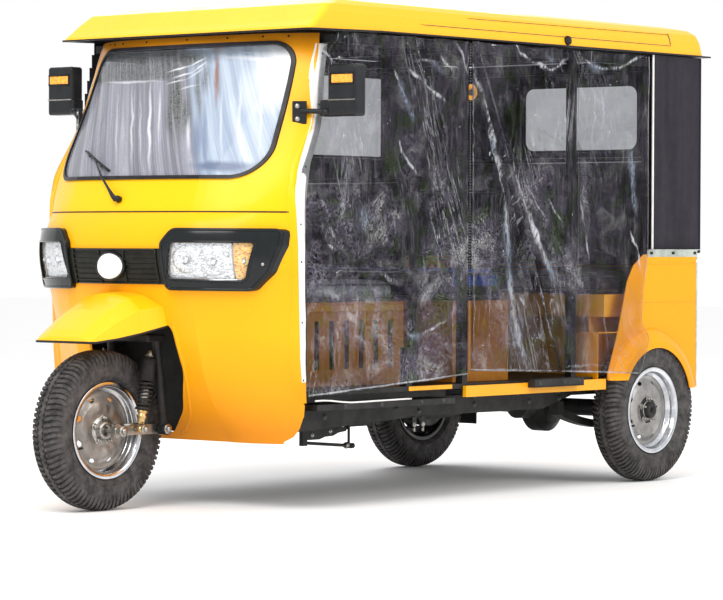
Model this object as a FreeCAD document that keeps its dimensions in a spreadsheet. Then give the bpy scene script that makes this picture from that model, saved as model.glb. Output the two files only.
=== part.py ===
import FreeCAD, Part
import math
import os
from FreeCAD import Vector as V

# Three-wheeled passenger auto rickshaw, real size, millimetres.
# Frame: +Z up, the vehicle faces -Y, its left side is +X. Stations along the
# length are written from the front axle and moved to the frame by axleY.

doc = FreeCAD.newDocument("auto_rickshaw")
sheet = doc.addObject("Spreadsheet::Sheet", "Dims")

DIMS = [
    # alias, value, what it is
    ("axleY", -1305, "front axle in the frame"),
    ("wheelBase", 2458, "front axle to rear axle"),
    ("wheelRad", 280, "tyre outer radius"),
    ("tyreHalf", 62.5, "half tyre width"),
    ("trackHalf", 586, "rear tyre centre from the middle plane"),
    ("rimRad", 170, "rim flange radius"),
    ("rimHalf", 50, "half rim width"),
    ("boreRad", 12, "hub bore radius"),
    ("axleRad", 10, "stub axle radius"),
    ("railX", 450, "chassis rail from the middle plane"),
    ("railWide", 50, "chassis rail width"),
    ("railLow", 300, "underside of the rail"),
    ("railDeep", 268, "underside of the rail at its front end"),
    ("railHigh", 370, "top of the rail"),
    ("kickLow", 345, "underside of the rail over the rear axle"),
    ("kickHigh", 400, "top of the rail over the rear axle"),
    ("railFront", 465, "front end of the rails"),
    ("railRear", 2800, "rear end of the rails"),
    ("floorLow", 402, "underside of the floor"),
    ("floorHigh", 420, "top of the floor"),
    ("floorHalf", 590, "half width of the floor"),
    ("skin", 4, "body panel thickness"),
    ("sideX", 610, "outer face of the sill"),
    ("sillLow", 371, "underside of the sill"),
    ("sillHigh", 412, "top of the sill"),
    ("sillFront", 1300, "front end of the wide sill"),
    ("sillRear", 2174, "rear end of the sill"),
    ("floorRear", 2740, "rear end of the floor"),
    ("seamHigh", 1044, "seam between nose and windscreen frame"),
    ("noseLow", 250, "lower edge of the nose"),
    ("lipHigh", 1682, "lower lip of the roof at its front"),
    ("roofHigh", 1824, "top of the roof"),
    ("roofHalf", 612, "half width of the roof at its lip"),
    ("roofFront", 413, "front lip of the roof"),
    ("roofRear", 2835, "rear wall of the roof"),
    ("gutter", 55, "rear lip beyond the rear wall"),
    ("deckHigh", 895, "top edge of the rear body"),
    ("tubeSize", 30, "pillar tube"),
    ("pillarX", 575, "pillar centre from the middle plane"),
    ("pillarA", 1315, "station of the pillar behind the driver"),
    ("pillarB", 1988, "station of the rear door pillar"),
    ("pillarBR", 2306, "station of the rear pillar on the closed side"),
    ("pillarC", 2490, "station of the quarter pillar"),
    ("railTopLow", 1640, "underside of the roof rails"),
    ("rake", 20, "rake of the steering axis in degrees"),
    ("headY", 170, "steering axis station at headZ"),
    ("headZ", 600, "height of the crown's middle"),
    ("columnRad", 19, "steering column radius"),
    ("headIn", 20.5, "head tube bore radius"),
    ("headOut", 30, "head tube outer radius"),
    ("armX", 112, "leading arm from the middle plane"),
    ("pivotY", 215, "leading arm pivot station"),
    ("shockY", 97, "lower shock bolt station"),
    ("shockTopY", 150, "upper shock bolt station"),
    ("shockTopZ", 572, "upper shock bolt height"),
    ("wellHalf", 225, "half width of the front wheel opening"),
    ("wellRear", 362, "rear wall of the front wheel well"),
    ("wellTop", 662, "top of the front wheel well"),
    ("seatX", 400, "half width of the driver's seat box"),
    ("seatFront", 640, "front of the driver's seat box"),
    ("seatRear", 1190, "rear of the driver's seat box"),
    ("seatHigh", 722, "top of the seat boxes"),
    ("cushion", 78, "seat cushion thickness"),
    ("eyeRad", 10, "tow eye bore radius"),
    ("plateHole", 3.5, "plate carrier hole radius"),
    ("plateSpan", 150, "plate carrier hole spacing"),
    ("curtain", 2, "curtain thickness"),
    ("panel", 4, "fabric panel thickness"),
]
for row, (alias, value, note) in enumerate(DIMS, 1):
    sheet.set(f"A{row}", note)
    sheet.set(f"B{row}", str(value))
    sheet.setAlias(f"B{row}", alias)
doc.recompute()
ALIASES = sorted((a for a, _, _ in DIMS), key=len, reverse=True)


def D(alias):
    return float(sheet.get(alias))


def ex(text):
    """An expression on the sheet: bare aliases become Dims.alias."""
    out = ""
    word = ""
    for ch in str(text) + " ":
        if ch.isalnum() or ch == "_":
            word += ch
        else:
            out += ("Dims." + word) if word in ALIASES else word
            out += ch
            word = ""
    return out.strip()


NODES = {}


def node(name, obj):
    obj.Label = name
    NODES[name] = obj
    return obj


def place(obj, x="0", y="0", z="0", rot=None):
    if rot is not None:
        obj.Placement = FreeCAD.Placement(V(0, 0, 0), rot)
    for axis, text in (("x", x), ("y", y), ("z", z)):
        obj.setExpression(f"Placement.Base.{axis}", ex(text))
    return obj


COUNT = [0]


def fresh(stem):
    COUNT[0] += 1
    return f"{stem}{COUNT[0]}"


def box(x0, x1, y0, y1, z0, z1):
    """A box between two corners; y is a station from the front axle."""
    b = doc.addObject("Part::Box", fresh("Box"))
    b.setExpression("Length", ex(f"({x1}) - ({x0})"))
    b.setExpression("Width", ex(f"({y1}) - ({y0})"))
    b.setExpression("Height", ex(f"({z1}) - ({z0})"))
    return place(b, x0, f"axleY + ({y0})", z0)


def tube(p0, p1, rad):
    """A round bar between two fixed points (station frame)."""
    a = V(p0[0], p0[1] + D("axleY"), p0[2])
    b = V(p1[0], p1[1] + D("axleY"), p1[2])
    c = doc.addObject("Part::Cylinder", fresh("Bar"))
    c.setExpression("Radius", ex(rad))
    c.Height = (b - a).Length
    c.Placement = FreeCAD.Placement(a, FreeCAD.Rotation(V(0, 0, 1), b - a))
    return c


def fuse(*objs):
    f = doc.addObject("Part::MultiFuse", fresh("Fuse"))
    f.Shapes = list(objs)
    return f


def cut(base, tool):
    c = doc.addObject("Part::Cut", fresh("Cut"))
    c.Base = base
    c.Tool = tool
    return c


def common(base, tool):
    c = doc.addObject("Part::Common", fresh("Common"))
    c.Base = base
    c.Tool = tool
    return c


def mirrored(obj):
    m = doc.addObject("Part::Mirroring", fresh("Mirror"))
    m.Source = obj
    m.Normal = (1, 0, 0)
    m.Base = (0, 0, 0)
    return m


def group(*objs):
    g = doc.addObject("Part::Compound", fresh("Group"))
    g.Links = list(objs)
    return g


def pair(obj):
    return group(obj, mirrored(obj))


PLANES = {"XY": "XY_Plane", "XZ": "XZ_Plane", "YZ": "YZ_Plane"}


def sketch(body, plane, loops):
    """A sketch of closed polygons whose corners are bound to the sheet."""
    sk = body.newObject("Sketcher::SketchObject", fresh("Sketch"))
    ref = [f for f in body.Origin.OriginFeatures if f.Role == PLANES[plane]][0]
    sk.AttachmentSupport = [(ref, "")]
    sk.MapMode = "FlatFace"
    import Sketcher
    for pts in loops:
        first = sk.GeometryCount
        num = []
        for u, v in pts:
            num.append((value_of(u), value_of(v)))
        n = len(pts)
        for i in range(n):
            a = num[i]
            b = num[(i + 1) % n]
            sk.addGeometry(Part.LineSegment(V(a[0], a[1], 0), V(b[0], b[1], 0)), False)
        for i in range(n):
            sk.addConstraint(Sketcher.Constraint(
                "Coincident", first + i, 2, first + (i + 1) % n, 1))
        for i, (u, v) in enumerate(pts):
            c = sk.addConstraint(Sketcher.Constraint("DistanceX", -1, 1, first + i, 1, num[i][0]))
            sk.setExpression(f"Constraints[{c}]", ex(u))
            c = sk.addConstraint(Sketcher.Constraint("DistanceY", -1, 1, first + i, 1, num[i][1]))
            sk.setExpression(f"Constraints[{c}]", ex(v))
    return sk


def value_of(text):
    names = {a: D(a) for a, _, _ in DIMS}
    total = 0.0
    sign = 1.0
    for term in str(text).replace("-", " - ").replace("+", " + ").split():
        if term == "+":
            sign = 1.0
        elif term == "-":
            sign = -1.0
        else:
            prod = 1.0
            for k, f in enumerate(term.replace("/", "*/").split("*")):
                inv = f.startswith("/")
                f = f.lstrip("/")
                if not f:
                    continue
                x = names[f] if f in names else float(f)
                prod = prod / x if inv else prod * x
            total += sign * prod
            sign = 1.0
    return total


def pad(plane, loops, length, x="0", y="0", z="0", mid=False):
    body = doc.addObject("PartDesign::Body", fresh("Body"))
    sk = sketch(body, plane, loops)
    p = body.newObject("PartDesign::Pad", fresh("Pad"))
    p.Profile = sk
    p.setExpression("Length", ex(length))
    p.Midplane = mid
    body.Tip = p
    return place(body, x, f"axleY + ({y})", z)


def revolve(loops, x="0", y="0", z="0"):
    """A body turned about its own X axis; corners are (along, radius)."""
    body = doc.addObject("PartDesign::Body", fresh("Body"))
    sk = sketch(body, "XY", loops)
    r = body.newObject("PartDesign::Revolution", fresh("Turn"))
    r.Profile = sk
    r.ReferenceAxis = (sk, ["H_Axis"])
    r.Angle = 360
    body.Tip = r
    return place(body, x, f"axleY + ({y})", z)


def feature(shape):
    f = doc.addObject("Part::Feature", fresh("Shape"))
    f.Shape = shape
    f.Placement = FreeCAD.Placement(V(0, D("axleY"), 0), FreeCAD.Rotation())
    return f


# ---------------------------------------------------------------- front shell
# Plan curve of the nose and windscreen frame at each height:
# z, y0 middle of the front, y1 at x1 = 300, (xm, ym) on the corner arc,
# (x3, y3) where the corner meets the door edge. Stations from the front axle.
X1 = 300.0
NOSE = [
    # z,    y0,  y1,  xm,  ym,  x3,  y3
    (236, 338, 344, 500, 362, 598, 432),
    (400, 238, 252, 485, 328, 604, 405),
    (550, 168, 196, 480, 303, 606, 390),
    (700, 118, 158, 470, 252, 606, 380),
    (880, 70, 108, 470, 200, 606, 374),
    (1044, 120, 152, 470, 244, 606, 378),
]
SCREEN = [
    (1044, 120, 152, 470, 244, 606, 378),
    (1165, 165, 198, 470, 287, 605, 394),
    (1400, 303, 330, 452, 395, 575, 486),
    (1550, 392, 412, 440, 458, 550, 525),
    (1712, 466, 486, 428, 512, 527, 577),
]
BACK = 620.0


def plan_wire(row, off, z=None):
    """Closed plan curve, grown outward by off (negative shrinks)."""
    z0, y0, y1, xm, ym, x3, y3 = row
    z = z0 if z is None else z
    y0 -= off
    y1 -= off
    x1 = X1 + 0.10 * off
    xm += 0.62 * off
    ym -= 0.78 * off
    x3 += off
    edges = [
        Part.Arc(V(-x1, y1, z), V(0, y0, z), V(x1, y1, z)).toShape(),
        Part.Arc(V(x1, y1, z), V(xm, ym, z), V(x3, y3, z)).toShape(),
        Part.makeLine(V(x3, y3, z), V(x3, BACK, z)),
        Part.makeLine(V(x3, BACK, z), V(-x3, BACK, z)),
        Part.makeLine(V(-x3, BACK, z), V(-x3, y3, z)),
        Part.Arc(V(-x3, y3, z), V(-xm, ym, z), V(-x1, y1, z)).toShape(),
    ]
    return Part.Wire(edges)


def plan_loft(rows, off):
    return Part.makeLoft([plan_wire(r, off) for r in rows], True, False)


def prism_x(points, x0, x1):
    """Polygon of (y, z) stretched from x0 to x1."""
    w = Part.makePolygon([V(x0, y, z) for y, z in points + [points[0]]])
    return Part.Face(w).extrude(V(x1 - x0, 0, 0))


def rounded(points, radii, y0, y1):
    """Polygon of (x, z) with rounded corners stretched from y0 to y1."""
    n = len(points)
    edges = []
    starts = []
    for i in range(n):
        p = V(points[i][0], y0, points[i][1])
        a = V(points[i - 1][0], y0, points[i - 1][1])
        b = V(points[(i + 1) % n][0], y0, points[(i + 1) % n][1])
        u = (a - p).normalize()
        w = (b - p).normalize()
        half = u.getAngle(w) / 2
        r = radii[i]
        if r <= 0:
            starts.append((p, None, p))
            continue
        t = r / math.tan(half)
        m = (u + w).normalize()
        starts.append((p + u * t, p + m * (r / math.sin(half) - r), p + w * t))
    for i in range(n):
        s, mid, e = starts[i]
        if mid is not None:
            edges.append(Part.Arc(s, mid, e).toShape())
        nxt = starts[(i + 1) % n][0]
        if (nxt - e).Length > 1e-6:
            edges.append(Part.makeLine(e, nxt))
    return Part.Face(Part.Wire(edges)).extrude(V(0, y1 - y0, 0))


# door opening's front edge: the shell ends behind this line of (y, z)
EDGE = [(500, 200), (500, 262), (412, 300), (408, 372), (380, 448), (371, 542), (364, 730), (358, 930), (349, 1030),
        (353, 1081), (363, 1131), (375, 1182), (395, 1223), (417, 1259), (441, 1300), (462, 1336),
        (482, 1387), (493, 1438), (505, 1489), (527, 1565), (553, 1636), (585, 1800), (900, 1800), (900, 200)]
behind = prism_x(EDGE, -900, 900)
# the nose's lower rear corner curls up at each side
CORNER = [(378, 200), (378, 244), (394, 262), (404, 288), (409, 330), (900, 330), (900, 200)]
corners = [prism_x(CORNER, 470, 900), prism_x(CORNER, -900, -470)]

nose_out = plan_loft(NOSE, 0)
nose_in = plan_loft(NOSE, -D("skin"))
screen_out = plan_loft(SCREEN, 0)
screen_in = plan_loft(SCREEN, -D("skin"))

# wheel opening in the nose, seen from the front: it closes behind the wheel
opening = rounded([(-60, 262), (60, 262), (152, 345), (216, 480), (205, 660), (-205, 660), (-216, 480), (-152, 345)],
                  [40, 40, 120, 120, 46, 46, 120, 120], -100, 700)
nose = nose_out.cut(nose_in).cut(behind).cut(opening)
for tool in corners:
    nose = nose.cut(tool)
node("front_cowl", feature(nose))

# windscreen opening in the frame: (x, z) corners and their radii
W_OUT = [(-514, 1158), (514, 1158), (482, 1647), (-482, 1647)]
W_R = [112, 112, 92, 92]
W_IN = [(-501, 1171), (501, 1171), (469, 1634), (-469, 1634)]
W_RI = [99, 99, 79, 79]
hole = rounded(W_OUT, W_R, 0, 700)
pane = rounded(W_IN, W_RI, 0, 700)
slab = Part.makeBox(1400, 1400, 630, V(-700, -300, 1044))
screen = screen_out.cut(screen_in).cut(behind).cut(hole).common(slab)
node("windscreen_frame", feature(screen))
glass = plan_loft(SCREEN, -1).cut(plan_loft(SCREEN, -6)).common(pane)
node("windscreen_glass", feature(glass))
rubber = plan_loft(SCREEN, 7).cut(plan_loft(SCREEN, -9)).common(hole.cut(pane))
node("windscreen_seal", feature(rubber))

# ---------------------------------------------------------------- lamps, grille
LENS = [(240, 810), (496, 804), (528, 937), (268, 937)]
LENS_R = [20, 24, 12, 16]
SURR = [(226, 772), (512, 768), (562, 832), (588, 925), (590, 984), (266, 986), (226, 936)]
SURR_R = [18, 30, 60, 40, 16, 36, 30]
lens = rounded(LENS, LENS_R, -100, 600)
surr = rounded(SURR, SURR_R, -100, 600)
proud = plan_loft(NOSE, 18).cut(nose_out)
low = plan_loft(NOSE, 10).cut(nose_out)
half = Part.makeBox(800, 1400, 2000, V(0, -300, 0))
frame_left = proud.common(half).common(surr).cut(lens)
node("lamp_surrounds", pair(feature(frame_left)))
node("headlamps", pair(feature(low.common(half).common(lens))))
band = plan_loft(NOSE, 7).cut(nose_out).common(
    rounded([(-231, 790), (231, 790), (231, 915), (-231, 915)], [4, 4, 4, 4], -100, 600)).cut(surr).cut(
    surr.mirror(V(0, 0, 0), V(1, 0, 0)))
disc = Part.makeCylinder(50, 34, V(0, 52, 852), V(0, 1, 0)).cut(nose_out)
node("grille_band", feature(band.fuse(disc)))

# ---------------------------------------------------------------- front mudguard
# section across at each station: y, half width, skirt bottom, shoulder, crown
GUARD = [
    (-172, 130, 590, 602, 612),
    (-150, 138, 590, 616, 634),
    (-60, 153, 600, 668, 702),
    (40, 168, 617, 710, 757),
    (140, 190, 640, 722, 770),
    (260, 212, 666, 732, 778),
]


def guard_wire(row, t):
    y, w, zb, zs, zc = row
    w -= t
    zs -= t
    zc -= t
    zb = zb if t == 0 else zb - 20
    r = w * 0.93
    pts = [V(-w, y, zb), V(-w, y, zs - 8), V(-w * 0.62, y, zs + (zc - zs) * 0.72), V(0, y, zc),
           V(w * 0.62, y, zs + (zc - zs) * 0.72), V(w, y, zs - 8), V(w, y, zb)]
    e = [Part.makeLine(pts[0], pts[1]),
         Part.makeLine(pts[1], pts[2]),
         Part.Arc(pts[2], pts[3], pts[4]).toShape(),
         Part.makeLine(pts[4], pts[5]),
         Part.makeLine(pts[5], pts[6]),
         Part.makeLine(pts[6], pts[0])]
    return Part.Wire(e)


g_out = Part.makeLoft([guard_wire(r, 0) for r in GUARD], True, True)
g_rows = [(GUARD[0][0] + 4,) + GUARD[0][1:]] + GUARD[1:-1] + [(GUARD[-1][0] + 20,) + GUARD[-1][1:]]
g_in = Part.makeLoft([guard_wire(r, 3.5) for r in g_rows], True, True)
guard = g_out.cut(g_in).cut(plan_loft(NOSE, 0.3))
node("front_mudguard", feature(guard))

# ---------------------------------------------------------------- front wheel well
well_o = Part.makeBox(2 * D("wellHalf") + 8, D("wellRear") + 4 - 60, D("wellTop") + 4 - 262,
                      V(-D("wellHalf") - 4, 60, 262))
well_i = Part.makeBox(2 * D("wellHalf"), D("wellRear"), D("wellTop") - 200,
                      V(-D("wellHalf"), 0, 200))
axis = V(0, math.sin(math.radians(D("rake"))), math.cos(math.radians(D("rake"))))
head = V(0, D("headY"), D("headZ"))
col_hole = Part.makeCylinder(D("headOut") + 1, 900, head - axis * 60, axis)
well = well_o.cut(well_i).common(plan_loft(NOSE, -D("skin") - 0.3)).cut(col_hole)
node("wheel_well", feature(well))

# ---------------------------------------------------------------- roof
# plan of the roof at each height: z, half width, front, rear, corner radius
ROOF = [
    (1668, 612, 413, 2835, 22),
    (1692, 611, 430, 2835, 22),
    (1712, 609, 457, 2834, 24),
    (1746, 603, 498, 2831, 28),
    (1776, 591, 534, 2825, 34),
    (1794, 568, 578, 2812, 44),
    (1804, 534, 660, 2720, 60),
    (1811, 484, 790, 2400, 90),
    (1818, 392, 960, 2150, 120),
    (1824, 250, 1200, 1950, 110),
]
# underside of the roof edge along the length: (station, height)
LIP = [(380, 1682), (800, 1691), (2920, 1696)]


def roof_wire(row, t):
    z, w, f, b, r = row
    w -= t
    f += t
    b -= t
    r = max(r - t, 8)
    q = r * (1 - math.sqrt(0.5))
    P = [V(-w + r, f, z), V(w - r, f, z), V(w, f + r, z), V(w, b - r, z),
         V(w - r, b, z), V(-w + r, b, z), V(-w, b - r, z), V(-w, f + r, z)]
    return Part.Wire([
        Part.makeLine(P[0], P[1]),
        Part.Arc(P[1], V(w - q, f + q, z), P[2]).toShape(),
        Part.makeLine(P[2], P[3]),
        Part.Arc(P[3], V(w - q, b - q, z), P[4]).toShape(),
        Part.makeLine(P[4], P[5]),
        Part.Arc(P[5], V(-w + q, b - q, z), P[6]).toShape(),
        Part.makeLine(P[6], P[7]),
        Part.Arc(P[7], V(-w + q, f + q, z), P[0]).toShape(),
    ])


roof_o = Part.makeLoft([roof_wire(r, 0) for r in ROOF], True, True)
inner_rows = [(ROOF[0][0] - 10,) + ROOF[0][1:]] + [(r[0] - 4.5,) + r[1:] for r in ROOF[1:]]
roof_i = Part.makeLoft([roof_wire(r, 4.5) for r in inner_rows], True, True)
under = prism_x([(LIP[0][0], 1600)] + LIP + [(LIP[-1][0], 1600)], -900, 900)
roof = roof_o.cut(roof_i).cut(under)
node("roof_shell", feature(roof))

# dark drip lip under the roof's edge, with a tongue at the rear
base_row = (1650, D("roofHalf"), D("roofFront"), D("roofRear"), 22)
lip_o = Part.Face(roof_wire(base_row, -3)).extrude(V(0, 0, 70))
lip_o = lip_o.fuse(Part.makeBox(2 * D("roofHalf") - 10, D("gutter") + 40, 70,
                                V(-D("roofHalf") + 5, D("roofRear") - 40, 1650)))
lip_i = Part.Face(roof_wire(base_row, 20)).extrude(V(0, 0, 70))
band_z = prism_x([(y, z - 6.3) for y, z in LIP] + [(y, z - 0.3) for y, z in reversed(LIP)], -900, 900)
node("roof_lip", feature(lip_o.cut(lip_i).common(band_z)))

# ---------------------------------------------------------------- rear body
# plan of the rear body: half width, rear wall, corner radius, lower and upper edge
BODY = (614, 2825, 50, 362, 895)
# flare round the wheel: x and radius of its outline about the arch's middle
FLARE = [(611, 306), (628, 298), (644, 281), (655, 256), (658, 226)]
FLARE_Y, FLARE_Z = 2461.0, 298.0
ARCH = 229.0


def rear_plan(t, z0, z1):
    w, b, r = BODY[0] - t, BODY[1] - t, BODY[2] - t
    f = 1950
    q = r * (1 - math.sqrt(0.5))
    P = [V(-w, f, z0), V(w, f, z0), V(w, b - r, z0), V(w - r, b, z0), V(-w + r, b, z0), V(-w, b - r, z0)]
    wire = Part.Wire([
        Part.makeLine(P[0], P[1]), Part.makeLine(P[1], P[2]),
        Part.Arc(P[2], V(w - q, b - q, z0), P[3]).toShape(),
        Part.makeLine(P[3], P[4]),
        Part.Arc(P[4], V(-w + q, b - q, z0), P[5]).toShape(),
        Part.makeLine(P[5], P[0]),
    ])
    return Part.Face(wire).extrude(V(0, 0, z1 - z0))


def turned(points):
    """Solid of revolution about the flare's axis from (x, radius) corners."""
    pts = [V(x, FLARE_Y, FLARE_Z + r) for x, r in points]
    pts = [V(points[0][0], FLARE_Y, FLARE_Z)] + pts + [V(points[-1][0], FLARE_Y, FLARE_Z)]
    face = Part.Face(Part.makePolygon(pts + [pts[0]]))
    return face.revolve(V(0, FLARE_Y, FLARE_Z), V(1, 0, 0), 360)


rear_o = rear_plan(0, BODY[3], BODY[4])
rear_i = rear_plan(4, BODY[3] - 5, BODY[4] + 5)
front_of = prism_x([(1900, 300), (2180, 300), (2182, 430), (2250, 600), (2308, 790), (2348, 850),
                    (2400, 885), (2430, 900), (1900, 1000)], -900, 900)
arch = Part.makeCylinder(ARCH, 1800, V(-900, FLARE_Y, FLARE_Z), V(1, 0, 0))
foot = Part.makeBox(1800, 170, 105, V(-900, 2150, 300))
for sx in (-1, 1):
    rear_o = rear_o.fuse(turned([(sx * x, r) for x, r in FLARE]))
    rear_i = rear_i.fuse(turned([(sx * (x - (2 if i == 0 else 4)), r - 4) for i, (x, r) in enumerate(FLARE)]))
rear_low = Part.makeBox(1800, 900, 560, V(-900, 2000, 362))
rear = rear_o.cut(rear_i).cut(front_of).cut(arch).cut(foot).common(rear_low)
for sx in (-1, 1):
    rear = rear.cut(Part.makeCylinder(D("plateHole"), 40, V(sx * D("plateSpan") / 2, 2800, 520), V(0, 1, 0)))
node("rear_body", feature(rear))

# ---------------------------------------------------------------- steering head
down = Part.makeCylinder(18, 10, V(0, 0, 0), V(0, 0, 1))


def bar(a, b, r):
    a = V(*a)
    b = V(*b)
    return Part.makeCylinder(r, (b - a).Length, a, b - a)


h0 = head + axis * 82
h1 = head + axis * 300
head_tube = Part.makeCylinder(D("headOut"), (h1 - h0).Length, h0, axis)
stay = head_tube
for sx in (-1, 1):
    stay = stay.fuse(bar((0, head.y + axis.y * 118, head.z + axis.z * 118), (sx * 250, 470, 716), 16))
    stay = stay.fuse(bar((0, head.y + axis.y * 270, head.z + axis.z * 270), (sx * 250, 470, 780), 14))
    stay = stay.fuse(Part.makeBox(28, 28, 372, V(sx * 250 - 14, 456, 420)))
stay = stay.cut(Part.makeCylinder(D("headIn"), 700, head, axis))
node("steering_head", feature(stay))

# ---------------------------------------------------------------- chassis
rail = pad("YZ", [[
    ("railFront", "railDeep"), ("1200", "railLow"), ("1950", "railLow"), ("2130", "kickLow"), ("railRear", "kickLow"),
    ("railRear", "kickHigh"), ("2110", "kickHigh"), ("1930", "railHigh"), ("railFront", "railHigh")]],
    "railWide", x="railX - railWide/2")
node("chassis_rails", pair(rail))
CROSS = [
    # y0, y1, z0, z1
    (465, 505, 300, 362),
    (1080, 1120, 330, 362),
    (1500, 1540, 330, 362),
    (1900, 1940, 330, 362),
    (2745, 2795, 350, 396),
]
members = [box("0 - (railX - railWide/2)", "railX - railWide/2", y0, y1, z0, z1)
           for y0, y1, z0, z1 in CROSS]
node("cross_members", group(*members))

floor = pad("XY", [[("-floorHalf", "452"), ("floorHalf", "452"), ("floorHalf", "2114"), ("494", "2114"),
                    ("494", "floorRear"), ("-494", "floorRear"), ("-494", "2114"), ("-floorHalf", "2114")],
                   [("-200", "690"), ("-200", "1060"), ("200", "1060"), ("200", "690")]],
            "floorHigh - floorLow", z="floorLow")
node("floor_pan", floor)

sill = pad("YZ", [[("sillFront", "sillLow"), ("sillRear", "sillLow"), ("sillRear", "sillHigh"),
                   ("sillFront", "sillHigh")]], "16", x="sideX - 16")
node("sills", pair(sill))
inner_sill = box("548", "560", "470", "1240", "sillLow + 6", "floorLow")
board = box("480", "sideX - 4", "470", "1240", "350", "371")
step = box("sideX + 0.5", "sideX + 34", "1674", "1984", "394", "424")
node("side_steps", group(step, mirrored(step), board, mirrored(board), inner_sill, mirrored(inner_sill)))

# ---------------------------------------------------------------- pillars and roof rails
PILLARS = [
    # station, foot height, sides
    ("pillarA", "floorHigh", "LR"),
    ("pillarB", "floorHigh", "L"),
    ("pillarBR", "592.3", "R"),
    ("pillarC", "592.3", "LR"),
    ("2790", "592.3", "LR"),
]
posts = []
for st, foot, sides in PILLARS:
    p = box("pillarX - tubeSize/2", "pillarX + tubeSize/2", f"{st} - tubeSize/2", f"{st} + tubeSize/2",
            foot, "railTopLow")
    if "L" in sides:
        posts.append(p)
    if "R" in sides:
        posts.append(mirrored(p))
stub = box("560", "590", "978", "1008", "floorHigh", "560")
posts += [stub, mirrored(stub)]
node("pillars", group(*posts))
side_rail = box("pillarX - tubeSize/2", "pillarX + tubeSize/2", "575", "2806", "railTopLow",
                "railTopLow + 28")
bows = [box("0 - (pillarX - tubeSize/2)", "pillarX - tubeSize/2", f"{y} - 15", f"{y} + 15",
            "railTopLow", "railTopLow + 28") for y in (590, 1315, 1988, 2790)]
node("roof_rails", pair(side_rail))
node("roof_bows", group(*bows))

# ---------------------------------------------------------------- wheel housings
house = cut(pad("XY", [[("500", "2120"), ("609", "2120"), ("609", "2772"), ("590", "2808"), ("500", "2808")]],
                "592 - sillHigh - 0.5", z="sillHigh + 0.5"),
            box("503", "700", "2123", "2805", "300", "589"))
node("wheel_housings", pair(house))

# ---------------------------------------------------------------- fabric and clear panels
quarter = box("600", "600 + panel", "2508", "2821", "900", "1686")
node("quarter_panels", pair(quarter))
node("back_panel", pad("XZ", [
    [("-594", "900"), ("594", "900"), ("594", "1686"), ("-594", "1686")],
    [("-300", "1312"), ("-300", "1598"), ("300", "1598"), ("300", "1312")]],
    "panel", y="2826"))
side = pad("YZ", [
    [("470", "1200"), ("470", "428"), ("2108", "428"), ("2108", "600"), ("2262", "600"), ("2306", "760"), ("2400", "890"),
     ("2506", "905"), ("2506", "1685"), ("820", "1682"), ("581", "1679")],
    [("620", "1278"), ("620", "1630"), ("2272", "1630"), ("2272", "1278")]],
    "panel", x="-600 - panel")
node("side_panel_right", side)
w_back = box("-300", "300", "2822.5", "2825.5", "1312", "1598")
w_side = box("-603", "-601", "620", "2272", "1278", "1630")
node("clear_windows", group(w_back, w_side))
# the front curtain bends inward to the windscreen pillar: height, front x, its station, station of the bend
BEND = [
    (395, 603, 340, 420),
    (1182, 603, 360, 500),
    (1400, 575, 470, 620),
    (1550, 550, 512, 660),
    (1685, 529, 555, 706),
]


def curtain_wire(z, x0, y0, y1):
    x1, t, end = 603.0, D("curtain"), 1316.0
    pts = [(x0, y0), (x1, y1), (x1, end), (x1 + t, end), (x1 + t, y1), (x0 + t, y0)]
    if abs(x0 - x1) < 0.1:
        pts = [(x1, y0), (x1, y1), (x1, end), (x1 + t, end), (x1 + t, y1), (x1 + t, y0)]
    return Part.makePolygon([V(x, y, z) for x, y in pts + [pts[0]]])


outline = prism_x([(420, 408), (420, 400), (996, 432), (1316, 452), (1316, 1680), (790, 1680), (760, 1636), (562, 1636), (548, 1600), (513, 1490),
                   (490, 1390), (463, 1320), (424, 1250), (388, 1190), (364, 1100), (358, 1035), (366, 930),
                   (372, 740), (379, 560), (389, 450)], 500, 700)
cur1 = feature(Part.makeLoft([curtain_wire(*r) for r in BEND], True, True).common(outline))
node("curtain_front_left", cur1)
cur2 = pad("YZ", [[("1320", "455"), ("2005", "438"), ("2160", "440"), ("2200", "500"), ("2255", "600"),
                   ("2300", "640"), ("2440", "660"), ("2440", "1682"), ("1320", "1682")]],
           "curtain", x="616")
node("curtain_rear_left", cur2)

# ---------------------------------------------------------------- seats and what is under them
base = box("-seatX", "seatX", "seatFront", "seatRear", "floorHigh", "seatHigh")
slots = []
for k in range(6):
    y = 690 + k * 82
    slots.append(box("seatX - 6", "seatX + 10", str(y), str(y + 26), "480", "655"))
    slots.append(box("-seatX - 10", "-seatX + 6", str(y), str(y + 26), "480", "655"))
inner = box("-seatX + 6", "seatX - 6", "seatFront + 6", "seatRear - 6", "floorHigh - 10", "seatHigh - 6")
node("driver_seat_base", cut(cut(base, inner), fuse(*slots)))
BENCH = [
    # x half, y0, y1, z0, z1
    (495, 1362, 1700, 420, 722),
    (552, 2240, 2700, 650, 738),
]
boxes = []
for w, y0, y1, z0, z1 in BENCH:
    b = cut(box(f"-{w}", w, y0, y1, z0, z1), box(f"-{w} + 6", f"{w} - 6", y0 + 6, y1 - 6, z0 - 10, z1 - 6))
    boxes.append(b)
support = [box(x0, x1, 2246, 2694, "floorHigh", 650) for x0, x1 in ((-476, -470), (470, 476))]
boxes[1] = fuse(boxes[1], *support, box("-476", "476", 2300, 2306, "floorHigh", 650),
                box("-476", "476", 2300, 2306, 650, 732), box(470, 476, 2246, 2694, 650, 732),
                box(-476, -470, 2246, 2694, 650, 732))
node("bench_bases", group(*boxes))
CUSHIONS = [
    # x half, y0, y1, z0, z1
    (392, 632, 1180, 722.3, 800),
    (490, 1358, 1706, 722.3, 838),
    (548, 2216, 2640, 738.3, 826),
]
node("seat_cushions", group(*[box(f"-{w}", w, y0, y1, z0, z1) for w, y0, y1, z0, z1 in CUSHIONS]))
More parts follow.
